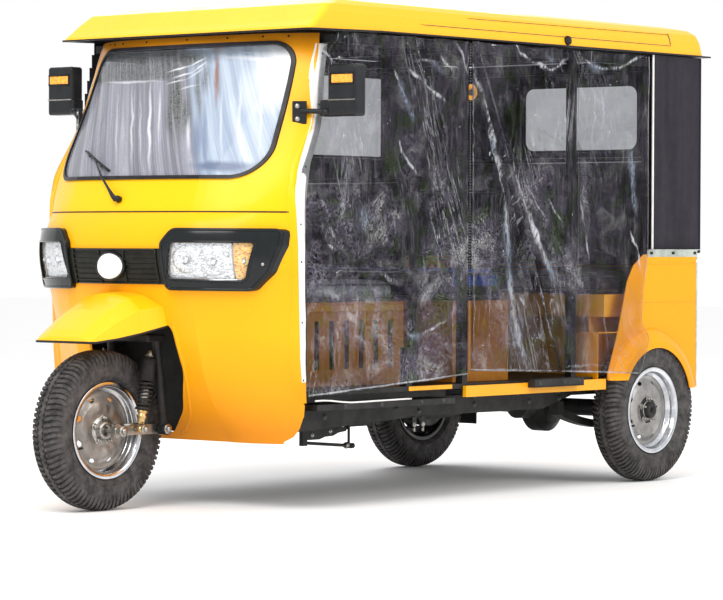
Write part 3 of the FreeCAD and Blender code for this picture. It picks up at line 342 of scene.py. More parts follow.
def cloth_mat(name, dark, light, scale=900.0, sheen=0.03, rough=0.75, bump=0.35, streak=0.5):
    """Woven coated cloth: crossing threads, vertical tone changes and a little sheen."""
    m = Mat(name, Sheen_Weight=sheen, Sheen_Roughness=0.45, Specular_IOR_Level=0.18)
    w1 = m.wave(scale * 0.16, m.map((1, 1, 0)), 0.4, direction="DIAGONAL")
    w2 = m.wave(scale * 0.16, m.map((0, 0, 1)), 0.4, direction="Z")
    weave = m.math("MULTIPLY", m.math("MULTIPLY", w1, w2), 0.5)
    tone = m.noise(1.0, 4, 0.6, 0.4, m.map((9, 9, 1.1)))
    col = m.ramp(tone, (0.32, dark), (0.68, light))
    m.to("Base Color", m.mix(m.math("MULTIPLY", weave, streak), col, tuple(c * 1.7 for c in light)))
    m.to("Roughness", m.ramp(m.noise(20, 3), (0.3, rough * 0.85), (0.7, min(1, rough * 1.15))))
    m.bump(weave, bump, 0.0005).bump(tone, 0.35, 0.004)
    return m.m


M["fabric"] = cloth_mat("black_coated_cloth", (0.017, 0.015, 0.021), (0.030, 0.026, 0.036), streak=0.12, bump=0.08)
M["side_cloth"] = satin("coated_cloth", (0.016, 0.015, 0.019), (0.034, 0.031, 0.038), 0.72, 7, 0.02, fine=120, spec=0.14)


def vinyl(name, dark, light, rough=0.38, scale=14.0):
    m = Mat(name, Coat_Weight=0.06, Specular_IOR_Level=0.3)
    m.to("Base Color", m.ramp(m.noise(scale, 6, 0.65, 0.6), (0.34, dark), (0.66, light)))
    m.to("Roughness", m.ramp(m.noise(30, 4), (0.3, rough * 0.8), (0.7, rough * 1.25)))
    m.bump(m.cells(900, feature="DISTANCE_TO_EDGE"), 0.22, 0.0006).bump(m.noise(60, 3), 0.18, 0.0015)
    return m.m


M["vinyl_black"] = vinyl("black_seat_vinyl", (0.014, 0.013, 0.013), (0.030, 0.028, 0.027))


def two_tone():
    """Blue top that wraps over the ends of the cushion; its front and lower part are black."""
    m = Mat("blue_and_black_seat_vinyl", Coat_Weight=0.06, Specular_IOR_Level=0.3)
    y, z = m.xyz()[1], m.xyz()[2]
    blue = m.ramp(m.noise(14, 6, 0.65, 0.6), (0.34, (0.010, 0.050, 0.30)), (0.66, (0.020, 0.085, 0.46)))
    black = m.ramp(m.noise(14, 6, 0.65, 0.6), (0.34, (0.014, 0.013, 0.013)), (0.66, (0.030, 0.028, 0.027)))
    f = m.math("MULTIPLY", m.ramp(z, (0.775, 0.0), (0.779, 1.0)), m.ramp(m.math("MULTIPLY", y, 5.0), (0.46, 0.0), (0.50, 1.0)))
    m.to("Base Color", m.mix(f, black, blue))
    m.to("Roughness", m.ramp(m.noise(30, 4), (0.3, 0.32), (0.7, 0.46)))
    m.bump(m.cells(900, feature="DISTANCE_TO_EDGE"), 0.22, 0.0006).bump(m.noise(60, 3), 0.18, 0.0015)
    return m.m


M["vinyl_blue"] = two_tone()


def patterned():
    """Light seat cloth with a random grey fleck, under a clear film."""
    m = Mat("grey_fleck_seat_cloth", Coat_Weight=0.35, Coat_Roughness=0.18)
    a = m.put("ShaderNodeRGBToBW", [("Color", m.cells(150, m.map((1, 1, 1)), "F1", 1))]).outputs[0]
    fleck = m.ramp(m.noise(95, 6, 0.75, 1.0), (0.43, (0.06, 0.07, 0.08)), (0.50, (0.30, 0.33, 0.36)),
                   (0.57, (0.66, 0.70, 0.74)))
    m.to("Base Color", m.mix(0.22, fleck, a))
    m.to("Roughness", m.ramp(m.noise(40, 3), (0.3, 0.40), (0.7, 0.65)))
    m.bump(m.noise(160, 4), 0.30, 0.0012)
    return m.m


M["seat_cloth"] = patterned()


def see_through(m, clear, fac):
    """Mixes a clear layer with the shader: fac 0 is clear, 1 the shader."""
    tr = m.put("ShaderNodeBsdfTransparent")
    tr.inputs[0].default_value = (*clear, 1.0)
    mx = m.put("ShaderNodeMixShader")
    if hasattr(fac, "links"):
        m.t.links.new(fac, mx.inputs[0])
    else:
        mx.inputs[0].default_value = fac
    m.t.links.new(tr.outputs[0], mx.inputs[1])
    m.t.links.new(m.b.outputs[0], mx.inputs[2])
    m.t.links.new(mx.outputs[0], m.out.inputs[0])
    return m


# painted highlights (white) and painted blue reflections along the folds of the two curtains: (station, z) from and to,
# half width, strength
REAR_FOLD_HIGHLIGHTS = [(1.425, 1.391, 1.461, 1.274, 0.0160, 0.60), (1.455, 1.288, 1.522, 1.077, 0.0200, 0.70),
    (1.510, 1.096, 1.546, 0.865, 0.0240, 0.80), (1.534, 0.891, 1.577, 0.666, 0.0240, 0.68),
    (1.571, 0.685, 1.651, 0.465, 0.0240, 0.70), (1.583, 1.198, 1.669, 1.052, 0.0124, 0.60),
    (1.651, 1.078, 1.757, 0.901, 0.0174, 0.90), (1.738, 0.928, 1.845, 0.783, 0.0248, 0.70),
    (1.323, 1.609, 1.383, 1.483, 0.0099, 0.50), (1.371, 1.508, 1.455, 1.318, 0.0099, 0.45),
    (1.986, 1.139, 2.025, 0.993, 0.0093, 0.40), (2.025, 1.001, 2.057, 0.843, 0.0093, 0.45),
    (2.322, 0.986, 2.383, 0.892, 0.0099, 0.80), (2.376, 0.908, 2.390, 0.837, 0.0093, 0.70),
    (1.595, 0.752, 1.663, 0.691, 0.0081, 0.60), (1.782, 1.117, 1.890, 1.004, 0.0074, 0.40),
    (1.626, 1.172, 1.801, 1.004, 0.0068, 0.35), (1.329, 1.536, 1.335, 0.984, 0.0056, 0.35),
    (1.335, 1.020, 1.341, 0.460, 0.0056, 0.35), (1.583, 1.688, 1.626, 1.645, 0.0093, 0.70),
    (1.614, 1.652, 1.688, 1.618, 0.0093, 0.70), (1.676, 1.621, 1.782, 1.595, 0.0112, 0.70),
    (1.769, 1.591, 1.851, 1.609, 0.0099, 0.60), (1.839, 1.605, 1.922, 1.647, 0.0093, 0.60),
    (2.005, 1.647, 2.083, 1.623, 0.0093, 0.70), (2.070, 1.626, 2.175, 1.615, 0.0112, 0.70),
    (2.162, 1.615, 2.302, 1.636, 0.0099, 0.60), (2.282, 1.631, 2.390, 1.679, 0.0093, 0.60),
    (2.376, 1.671, 2.471, 1.710, 0.0093, 0.60), (1.383, 0.463, 1.626, 0.462, 0.0093, 0.60),
    (1.877, 0.466, 2.162, 0.466, 0.0074, 0.40), (2.136, 0.714, 2.175, 0.512, 0.0074, 0.40),
    (1.694, 0.653, 1.788, 0.549, 0.0087, 0.40), (1.826, 0.719, 1.801, 0.567, 0.0081, 0.35)]
REAR_FOLD_REFLECTIONS = [(1.437, 1.336, 1.455, 1.251, 0.0186, 0.60), (1.504, 1.077, 1.565, 0.722, 0.0340, 0.55),
    (1.782, 0.890, 1.832, 0.787, 0.0310, 0.60), (2.315, 1.327, 2.349, 1.116, 0.0310, 0.60),
    (2.336, 1.182, 2.363, 1.045, 0.0248, 0.50), (2.018, 1.624, 2.156, 1.614, 0.0310, 0.50),
    (1.719, 1.645, 1.858, 1.632, 0.0186, 0.40), (1.577, 0.655, 1.651, 0.473, 0.0248, 0.35)]
FRONT_FOLD_HIGHLIGHTS = [(0.964, 1.569, 1.044, 1.518, 0.0099, 0.60), (1.032, 1.525, 1.188, 1.443, 0.0099, 0.60),
    (0.879, 1.554, 0.913, 1.506, 0.0087, 0.60), (0.902, 1.520, 0.958, 1.443, 0.0093, 0.60),
    (0.907, 1.305, 0.941, 1.248, 0.0099, 0.80), (0.930, 1.262, 1.009, 1.181, 0.0105, 0.80),
    (0.947, 0.613, 1.032, 0.596, 0.0087, 0.60), (1.021, 0.596, 1.182, 0.655, 0.0105, 0.55),
    (1.009, 0.683, 1.136, 0.819, 0.0279, 0.42), (0.669, 1.299, 0.615, 1.122, 0.0310, 0.30),
    (0.621, 1.136, 0.572, 0.992, 0.0279, 0.30), (0.519, 0.988, 0.561, 0.950, 0.0124, 0.50),
    (0.508, 0.936, 0.561, 0.904, 0.0124, 0.50), (0.471, 0.773, 0.615, 0.736, 0.0186, 0.35),
    (0.615, 0.701, 0.697, 0.643, 0.0186, 0.50), (0.669, 0.735, 0.835, 0.733, 0.0186, 0.30),
    (0.796, 0.840, 0.907, 0.785, 0.0155, 0.40), (1.306, 1.204, 1.317, 0.799, 0.0056, 0.35),
    (1.311, 0.818, 1.323, 0.461, 0.0056, 0.35), (0.986, 1.595, 1.147, 1.591, 0.0093, 0.40),
    (0.529, 1.638, 0.588, 1.571, 0.0074, 0.50), (1.147, 1.616, 1.217, 1.561, 0.0099, 0.60),
    (1.223, 1.671, 1.317, 1.550, 0.0105, 0.60), (1.359, 1.674, 1.276, 1.563, 0.0093, 0.50),
    (1.217, 0.910, 1.223, 0.464, 0.0056, 0.30), (0.535, 0.632, 0.567, 0.484, 0.0087, 0.25),
    (0.642, 0.612, 0.763, 0.574, 0.0099, 0.30), (1.061, 1.272, 1.089, 1.164, 0.0074, 0.35)]
FRONT_FOLD_REFLECTIONS = [(0.907, 1.538, 0.964, 1.393, 0.0248, 0.50), (0.958, 1.450, 0.986, 1.357, 0.0248, 0.50),
    (1.078, 1.599, 1.182, 1.545, 0.0186, 0.40), (0.702, 1.077, 0.724, 0.971, 0.0558, 0.42),
    (0.952, 0.605, 1.066, 0.599, 0.0248, 0.50)]


def pvc(name, haze=0.018, lines=0.36, crinkle=0.52, clear=(0.50, 0.51, 0.53), tilts=(0.06, -0.30), fold_highlights=(), fold_reflections=(),
        ends=None, shine=0.40, white=(0.80, 0.82, 0.88), tints=((0.150, 0.205, 0.115), (0.225, 0.190, 0.290), (0.56, 0.56, 0.57))):
    """Clear soft sheet: see-through, mottled by crinkles, with painted highlights in long streaks, glints and folds,
    and painted blue reflections on some folds.
    """
    m = Mat(name, Roughness=0.10, Coat_Weight=0.3, Coat_Roughness=0.05)
    m.b.inputs["IOR"].default_value = 1.5
    y, z = m.xyz()[1], m.xyz()[2]
    wob = m.wobble(16.0, 0.034)
    iso = m.noise(27, 4, 0.62, 2.6)
    fine = m.noise(52, 2, 0.55, 1.6)
    line1 = m.ramp(m.math("ABSOLUTE", m.math("SUBTRACT", iso, 0.5)), (0.0, 1.0), (0.026, 0.50), (0.065, 0.0))
    line2 = m.ramp(m.math("ABSOLUTE", m.math("SUBTRACT", fine, 0.5)), (0.0, 0.9), (0.030, 0.30), (0.070, 0.0))
    patch = m.ramp(m.noise(3.1, 4, 0.62, 0.8), (0.40, 0.12), (0.60, 1.0))
    low = m.ramp(m.math("MULTIPLY", z, 0.5), (0.56, 1.0), (0.68, 0.45))
    # behind the rear door pillar the sheet lies smooth
    quiet = m.math("MULTIPLY", m.ramp(y, (0.70, 0.0), (0.76, 0.68)), m.ramp(m.math("MULTIPLY", z, 0.5), (0.64, 1.0), (0.68, 0.0)))
    rough = m.math("SUBTRACT", 1.0, quiet)
    mottle = m.math("MULTIPLY", m.math("MULTIPLY", m.math("MAXIMUM", line1, line2), m.math("MULTIPLY", patch, low)), crinkle)
    mottle = m.math("MULTIPLY", mottle, rough)
    tone = m.ramp(m.noise(6.5, 5, 0.7, 1.2), (0.38, tints[0]), (0.50, tints[1]), (0.62, tints[2]))
    # painted glints where the fine crinkles peak
    glint = m.ramp(fine, (0.66, 0.0), (0.74, 1.0))
    glint = m.math("MULTIPLY", m.math("MULTIPLY", glint, m.ramp(m.noise(5.2, 3, 0.6, 0.4), (0.52, 0.0), (0.66, 1.0))), crinkle * 1.2)
    glint = m.math("MULTIPLY", glint, rough)
    streak = None
    for k, tilt in enumerate(tilts):
        src = m.map((1, 1, 1), (tilt, 0, 0), (0.0, 2.3 * k, 1.1 * k))
        n = m.noise(1.0, 6, 0.60, 0.8, m.map((1, 15 + 6 * k, 1.15 + 0.6 * k), src=src))
        l = m.ramp(m.math("ABSOLUTE", m.math("SUBTRACT", n, 0.5)), (0.0, 1.0), (0.005, 0.50), (0.016, 0.10), (0.030, 0.0))
        mask = m.ramp(m.noise(2.3, 3, 0.55, 0.4, m.map((1, 1, 0.6), (0, 0, 0), (5.0 + k, 3.0, 7.0 + 2 * k))), (0.48, 0.0),
                      (0.64, 1.0))
        l = m.math("MULTIPLY", l, mask)
        streak = l if streak is None else m.math("MAXIMUM", streak, l)
    streak = m.math("MULTIPLY", streak, lines)
    torn = m.ramp(m.noise(1.0, 6, 0.72, 1.4, m.map((1, 95, 22.0))), (0.38, 0.04), (0.52, 0.55), (0.66, 1.0))
    veil = m.ramp(m.noise(1.0, 5, 0.64, 0.9, m.map((1, 42, 5.0))), (0.42, 0.0), (0.54, 0.05), (0.68, 0.24))
    veil = m.math("MULTIPLY", veil, m.ramp(m.noise(2.1, 3, 0.6, 0.3, m.map((1, 1, 1), (0, 0, 0), (3, 9, 1))), (0.38, 0.25), (0.62, 1.0)))
    # painted highlights: streaks, glints and fold strokes turn the sheet white
    bright = m.math("MAXIMUM", streak, glint)
    if fold_highlights:
        w = m.math("MULTIPLY", m.spots(fold_highlights, "yz", wob, A), torn)
        bright = m.math("MAXIMUM", bright, w)
    col = m.mix(m.ramp(bright, (0.02, 0.0), (0.30, 1.0)), tone, white)
    total = m.math("MAXIMUM", m.math("MAXIMUM", mottle, veil), bright)
    # painted blue reflections on some folds
    if fold_reflections:
        bl = m.math("MULTIPLY", m.math("MULTIPLY", m.spots(fold_reflections, "yz", wob, A), torn), 0.95)
        col = m.mix(m.ramp(bl, (0.04, 0.0), (0.30, 1.0)), col, (0.34, 0.42, 0.56))
        total = m.math("MAXIMUM", total, bl)
    soft = m.math("MULTIPLY", m.ramp(m.noise(1.7, 4, 0.6, 0.5), (0.40, 0.2), (0.68, 1.0)), haze * 2.2)
    m.bump(m.noise(1.0, 1, 0.5, 1.0, m.map((1, 20, 3.4))), 0.60, 0.010).bump(m.noise(24, 1, 0.5, 1.0), 0.30, 0.004)
    lw = m.put("ShaderNodeLayerWeight", [("Blend", 0.20)])
    m.t.links.new(m.bumps, lw.inputs["Normal"])
    gloss = m.math("MULTIPLY", lw.outputs["Fresnel"], shine)
    fac = m.math("ADD", m.math("ADD", total, soft), gloss, clamp=True)
    m.to("Base Color", col)
    see_through(m, clear, fac)
    if ends:
        a, b, far = ends
        tr = [n for n in m.t.nodes if n.bl_idname == "ShaderNodeBsdfTransparent"][0]
        f = m.ramp(m.math("MULTIPLY", m.math("SUBTRACT", y, a), 1.0 / (b - a)), (0.0, 0.0), (1.0, 1.0))
        f = m.math("MULTIPLY", f, m.ramp(m.math("MULTIPLY", z, 0.5), (0.455, 1.0), (0.490, 0.0)))
        m.t.links.new(m.mix(f, clear, far), tr.inputs[0])
    return m.m


M["pvc_front"] = pvc("clear_sheet_front", fold_highlights=FRONT_FOLD_HIGHLIGHTS, fold_reflections=FRONT_FOLD_REFLECTIONS)
M["pvc_rear"] = pvc("clear_sheet_rear", haze=0.016, tilts=(0.10, -0.34), fold_highlights=REAR_FOLD_HIGHLIGHTS, fold_reflections=REAR_FOLD_REFLECTIONS,
                    ends=(0.69, 0.75, (0.88, 0.87, 0.84)))
M["pvc_window"] = pvc("clear_sheet_window", haze=0.16, lines=0.30, crinkle=0.20, clear=(0.84, 0.84, 0.86), tilts=(0.0, 0.04),
                      white=(0.76, 0.76, 0.80), shine=0.3, tints=((0.42, 0.42, 0.42), (0.52, 0.51, 0.53), (0.62, 0.62, 0.63)))
M["pvc_hem"] = pvc("clear_sheet_hem", haze=0.22, lines=0.5, crinkle=0.5, clear=(0.62, 0.62, 0.64),
                   tints=((0.40, 0.40, 0.42), (0.55, 0.55, 0.58), (0.66, 0.66, 0.70)))


def glass(name, haze, col, clear=(0.90, 0.93, 0.95)):
    m = Mat(name, Roughness=0.04, Coat_Weight=0.6, Coat_Roughness=0.03)
    band = m.noise(1.0, 4, 0.6, 0.6, m.map((9, 1, 0.9)))
    edge = m.noise(1.5, 4, 0.55, 0.5)
    f = m.math("ADD", m.math("MULTIPLY", m.ramp(band, (0.42, 0.0), (0.66, 1.0)), haze * 0.9),
               m.math("MULTIPLY", m.ramp(edge, (0.35, 0.0), (0.70, 1.0)), haze * 0.8))
    f = m.math("ADD", f, haze * 0.55, clamp=True)
    m.to("Base Color", m.ramp(band, (0.35, tuple(c * 0.8 for c in col)), (0.68, col)))
    m.bump(m.noise(0.9, 2), 0.03, 0.01)
    return see_through(m, clear, f).m


# painted marks on the windscreen, the white ones painted highlights: (x, z) from and to, half width, strength
SCREEN_HIGHLIGHTS = [(-0.206, 1.504, -0.009, 1.187, 0.0078, 0.60), (-0.113, 1.512, 0.077, 1.186, 0.0083, 0.80),
    (-0.279, 1.492, -0.092, 1.188, 0.0062, 0.35), (-0.142, 1.480, 0.031, 1.193, 0.0052, 0.30),
    (-0.045, 1.484, 0.055, 1.300, 0.0062, 0.50), (0.149, 1.377, 0.209, 1.262, 0.0104, 0.50),
    (0.301, 1.528, 0.412, 1.224, 0.0073, 0.40), (0.240, 1.494, 0.353, 1.225, 0.0068, 0.40),
    (0.370, 1.573, 0.471, 1.224, 0.0062, 0.35), (-0.039, 1.546, 0.058, 1.568, 0.0052, 0.80),
    (0.060, 1.565, 0.121, 1.595, 0.0052, 0.80), (-0.006, 1.523, 0.088, 1.545, 0.0052, 0.70),
    (0.084, 1.546, 0.133, 1.580, 0.0052, 0.70), (-0.025, 1.502, 0.060, 1.517, 0.0047, 0.60),
    (0.065, 1.517, 0.126, 1.555, 0.0047, 0.60), (0.055, 1.481, 0.131, 1.497, 0.0052, 0.50),
    (-0.389, 1.519, -0.062, 1.514, 0.0062, 0.50), (0.194, 1.596, 0.485, 1.571, 0.0104, 0.60)]
SCREEN_DARK = [(-0.019, 1.586, 0.147, 1.280, 0.0468, 0.62), (0.075, 1.480, 0.182, 1.298, 0.0312, 0.50),
    (0.017, 1.446, 0.116, 1.306, 0.0260, 0.50), (-0.335, 1.606, -0.102, 1.589, 0.0468, 0.60),
    (-0.357, 1.551, -0.132, 1.546, 0.0312, 0.50), (0.072, 1.590, 0.206, 1.369, 0.0208, 0.45),
    (0.118, 1.581, 0.186, 1.459, 0.0260, 0.40), (-0.10, 1.600, 0.150, 1.585, 0.0420, 0.60)]
SCREEN_BROWN = [(0.156, 1.623, 0.250, 1.418, 0.0135, 0.85), (0.120, 1.632, 0.200, 1.628, 0.0208, 0.50)]
SCREEN_BLUE = [(0.184, 1.387, 0.270, 1.208, 0.0260, 0.50), (0.191, 1.441, 0.308, 1.190, 0.0156, 0.45),
    (0.240, 1.205, 0.470, 1.200, 0.0240, 0.85)]


def screen_glass():
    """Windscreen: a painted pale reflection in upright streaks, lilac on one side and bluish white on the other, with a
    painted glare at the upper right and painted shade at the top left.
    """
    m = Mat("windscreen_glass", Roughness=0.10, Coat_Weight=0.06, Coat_Roughness=0.05, Specular_IOR_Level=0.16)
    x, z = m.xyz()[0], m.xyz()[2]
    u = m.math("ADD", x, m.math("MULTIPLY", z, 0.62))
    flat = m.put("ShaderNodeCombineXYZ", [("X", u), ("Z", z)]).outputs[0]
    wob = m.wobble(11.0, 0.016)
    side = m.ramp(m.math("SUBTRACT", u, 0.5), (0.505, 0.0), (0.535, 1.0))
    band = m.noise(1.0, 5, 0.62, 0.2, m.map((19, 1, 0.50), src=flat))
    thin = m.noise(1.0, 5, 0.60, 0.3, m.map((46, 1, 0.9), (0, 0, 0), (4, 0, 2), src=flat))
    line = m.ramp(m.math("ABSOLUTE", m.math("SUBTRACT", thin, 0.5)), (0.0, 1.0), (0.016, 0.3), (0.040, 0.0))
    scrib = m.noise(40, 5, 0.68, 2.4)
    scrib = m.ramp(m.math("ABSOLUTE", m.math("SUBTRACT", scrib, 0.5)), (0.0, 1.0), (0.030, 0.5), (0.08, 0.0))
    low = m.ramp(band, (0.34, (0.185, 0.185, 0.220)), (0.50, (0.242, 0.246, 0.292)), (0.66, (0.340, 0.345, 0.400)))
    high = m.ramp(band, (0.34, (0.30, 0.37, 0.49)), (0.50, (0.385, 0.455, 0.565)), (0.64, (0.54, 0.61, 0.70)))
    col = m.mix(side, low, high)
    # painted shade: above this height the left part is dark
    above = m.math("MULTIPLY", m.ramp(m.math("MULTIPLY", z, 0.5), (0.754, 0.0), (0.764, 1.0)),
                   m.ramp(m.math("SUBTRACT", u, 0.5), (0.47, 1.0), (0.53, 0.0)))
    shade = m.math("MAXIMUM", m.math("MULTIPLY", above, 0.80), m.math("MULTIPLY", m.spots(SCREEN_DARK, "xz", wob), 1.7, clamp=True))
    col = m.mix(shade, col, m.ramp(scrib, (0.0, (0.045, 0.050, 0.045)), (1.0, (0.22, 0.23, 0.22))))
    # painted reflection: thin pale upright lines
    col = m.mix(m.math("MULTIPLY", line, 0.30), col, (0.74, 0.76, 0.84))
    col = m.mix(m.math("MULTIPLY", m.math("MULTIPLY", scrib, 0.22), m.math("SUBTRACT", 1.0, side)), col, (0.12, 0.12, 0.13))
    col = m.mix(m.math("MULTIPLY", m.spots(SCREEN_BLUE, "xz", wob), 1.5, clamp=True), col, (0.17, 0.21, 0.31))
    col = m.mix(m.spots(SCREEN_BROWN, "xz", wob), col, (0.28, 0.13, 0.075))
    # painted highlights: the white marks
    col = m.mix(m.spots(SCREEN_HIGHLIGHTS, "xz", wob), col, (0.84, 0.86, 0.90))
    # painted glare at the upper right
    painted_glare = m.math("MULTIPLY", m.ramp(m.math("ADD", x, 0.5), (0.80, 0.0), (0.95, 1.0)),
                   m.ramp(m.math("MULTIPLY", z, 0.5), (0.69, 0.0), (0.765, 1.0)))
    m.to("Base Color", m.mix(m.math("MULTIPLY", painted_glare, 0.85), col, (1.0, 1.0, 1.0)))
    top = m.ramp(m.math("MULTIPLY", z, 0.5), (0.788, 1.0), (0.806, 0.25))
    f = m.math("ADD", m.ramp(band, (0.36, 0.76), (0.62, 0.88)), m.math("MULTIPLY", painted_glare, 0.15), clamp=True)
    f = m.math("MULTIPLY", f, top)
    m.bump(m.noise(0.9, 2), 0.02, 0.01)
    return see_through(m, (0.80, 0.83, 0.86), f).m


M["glass"] = screen_glass()
M["lens"] = glass("lamp_lens", 0.10, (0.80, 0.82, 0.85), (0.95, 0.96, 0.97))


def facets(name, dark, mid, light, metal, scale=75.0):
    m = Mat(name, Metallic=metal, Coat_Weight=0.5, Coat_Roughness=0.05)
    c = m.cells(scale, m.map((1, 0.3, 1.6)), "F1", 1)
    g = m.put("ShaderNodeRGBToBW", [("Color", c)]).outputs[0]
    m.to("Base Color", m.ramp(g, (0.22, dark), (0.36, mid), (0.62, light)))
    m.to("Roughness", m.ramp(m.noise(80, 3), (0.3, 0.10), (0.7, 0.30)))
    m.bump(m.cells(scale, m.map((1, 0.3, 1.6)), "F1", 0), 0.5, 0.002).bump(m.noise(300, 3), 0.2, 0.001)
    return m.m


M["reflector"] = facets("lamp_reflector", (0.34, 0.35, 0.36), (0.60, 0.61, 0.62), (0.90, 0.90, 0.90), 0.6, 190)
M["amber_facets"] = facets("amber_reflector", (0.46, 0.16, 0.012), (0.85, 0.36, 0.03), (1.0, 0.62, 0.14), 0.10, 150)
M["amber"] = facets("amber_lens", (0.78, 0.22, 0.010), (0.90, 0.33, 0.015), (0.98, 0.45, 0.03), 0.0, 240)
M["red"] = facets("red_lens", (0.36, 0.008, 0.008), (0.50, 0.014, 0.012), (0.62, 0.03, 0.02), 0.0, 240)
M["bulb"] = facets("bulb_glass", (0.45, 0.47, 0.50), (0.75, 0.77, 0.80), (0.95, 0.96, 0.98), 0.5, 160)


def lit_amber():
    """Small amber lamp that shines a little."""
    m = Mat("lit_amber_lens", Coat_Weight=0.5, Coat_Roughness=0.05, Emission_Strength=0.9)
    g = m.put("ShaderNodeRGBToBW", [("Color", m.cells(240, m.map((1, 0.3, 1.6)), "F1", 1))]).outputs[0]
    col = m.ramp(g, (0.22, (0.80, 0.25, 0.012)), (0.36, (0.95, 0.38, 0.03)), (0.62, (1.0, 0.50, 0.06)))
    m.to("Base Color", col)
    m.to("Emission Color", col)
    m.to("Roughness", m.ramp(m.noise(80, 3), (0.3, 0.10), (0.7, 0.30)))
    m.bump(m.cells(240, m.map((1, 0.3, 1.6)), "F1", 0), 0.4, 0.001)
    return m.m


M["lit_amber"] = lit_amber()


def disc_white():
    m = Mat("plain_white_disc", Coat_Weight=0.5, Coat_Roughness=0.08)
    m.to("Base Color", m.ramp(m.noise(40, 5), (0.3, (0.84, 0.83, 0.83)), (0.7, (0.93, 0.92, 0.91))))
    m.to("Roughness", m.ramp(m.noise(60, 3), (0.3, 0.22), (0.7, 0.38)))
    m.bump(m.noise(260, 2), 0.05, 0.0005)
    return m.m


M["white_disc"] = disc_white()


def mirror_mat():
    m = Mat("mirror_glass", Metallic=1.0)
    m.to("Base Color", m.ramp(m.noise(4, 4), (0.3, (0.78, 0.80, 0.82)), (0.7, (0.88, 0.90, 0.92))))
    m.to("Roughness", m.ramp(m.noise(25, 5, 0.7), (0.45, 0.02), (0.8, 0.10)))
    return m.m


M["mirror"] = mirror_mat()


def roof_mat():
    """Yellow outside, with painted shade on the faces that look sideways; the faces that look down and those that look
    inward are the dark lining, partly a real lining and partly painted shade under the roof.
    """
    m = Mat("roof_paint_with_painted_shade", Coat_Weight=0.15, Coat_Roughness=0.10, Specular_IOR_Level=0.28)
    col = m.ramp(m.noise(2.0, 5, 0.6), (0.3, (0.95, 0.520, 0.008)), (0.7, (0.95, 0.560, 0.010)))
    # painted shade: the faces that look sideways are a darker orange
    side_shade = m.ramp(m.math("ABSOLUTE", m.xyz(m.tc.outputs["Normal"])[0]), (0.35, 0.0), (0.75, 1.0))
    col = m.mix(m.math("MULTIPLY", side_shade, 0.75), col, (0.93, 0.410, 0.008))
    # dark lining that also paints the shade inside the roof
    lining_and_shade = m.ramp(m.noise(40, 5), (0.3, (0.040, 0.034, 0.028)), (0.7, (0.075, 0.064, 0.052)))
    up = m.xyz(m.tc.outputs["Normal"])[2]
    st = m.xyz()[1]
    inner = m.math("MULTIPLY", m.ramp(m.math("MULTIPLY", up, -1.0), (0.25, 0.0), (0.45, 1.0)),
                   m.ramp(m.math("ADD", st, 1.6), (0.78, 0.0), (0.84, 1.0)))
    nx, ny = m.xyz(m.tc.outputs["Normal"])[0], m.xyz(m.tc.outputs["Normal"])[1]
    inx = m.ramp(m.math("MULTIPLY", m.math("MULTIPLY", m.xyz()[0], nx), -1.0), (0.20, 0.0), (0.30, 1.0))
    iny = m.ramp(m.math("MULTIPLY", m.math("MULTIPLY", m.math("SUBTRACT", st, 0.25), ny), -1.0), (0.25, 0.0), (0.40, 1.0))
    inner = m.math("MAXIMUM", inner, m.math("MAXIMUM", inx, iny))
    m.to("Base Color", m.mix(inner, col, lining_and_shade))
    m.to("Roughness", m.ramp(m.noise(14, 4), (0.3, 0.24), (0.7, 0.38)))
    m.bump(m.noise(380, 2), 0.05, 0.0004).bump(m.noise(2.4, 2), 0.06, 0.006)
    return m.m


M["roof"] = roof_mat()


def stage_mat(name, tone):
    m = Mat(name, Specular_IOR_Level=0.2)
    m.to("Base Color", m.ramp(m.noise(1.4, 4), (0.3, tuple(c * 0.985 for c in tone)), (0.7, tone)))
    m.to("Roughness", m.ramp(m.noise(3, 2), (0.3, 0.75), (0.7, 0.9)))
    return m.m


def give(mat, *names):
    for n in names:
        o = N[n]
        o.data.materials.clear()
        o.data.materials.append(M[mat])


give("yellow", "front_mudguard")
give("yellow_nose", "front_cowl")
give("yellow_frame", "windscreen_frame")
give("yellow_rear", "rear_body", "wheel_housings")
give("yellow_sill", "sills")
give("yellow_seat", "driver_seat_base")
give("orange_board", "bench_bases")
give("roof", "roof_shell")
give("seal", "roof_lip", "windscreen_seal")
give("glass", "windscreen_glass")
give("lens", "headlamps")
give("dark_gloss", "lamp_surrounds")
give("grille_black", "grille_band")
give("black_plastic", "mirrors", "wiper")
give("rubber", "mudflaps", "grips")
give("steel_black", "wheel_well", "chassis_rails", "cross_members", "steering_head", "floor_pan", "side_steps",
     "pillars", "roof_rails", "roof_bows", "back_frames", "fork", "rear_axle", "drive_shaft", "leaf_springs",
     "tow_eye", "brake_linkage", "handlebar")
give("cast", "engine", "rear_hubs")
give("zinc", "leading_arms", "plate_carrier", "front_shocks")
give("grey_plastic", "dashboard")
give("fabric", "quarter_panels")
give("side_cloth", "back_panel", "side_panel_right")
give("pvc_window", "clear_windows")
give("pvc_front", "curtain_front_left")
give("pvc_rear", "curtain_rear_left")
give("seat_cloth", "seat_cushions", "seat_backs")
give("red", "tail_lamps")
give("mirror", "mirror_glasses")
give("tyre", "front_tyre", "rear_left_tyre", "rear_right_tyre")
give("rim_bright", "front_rim", "rear_left_rim", "rear_right_rim")


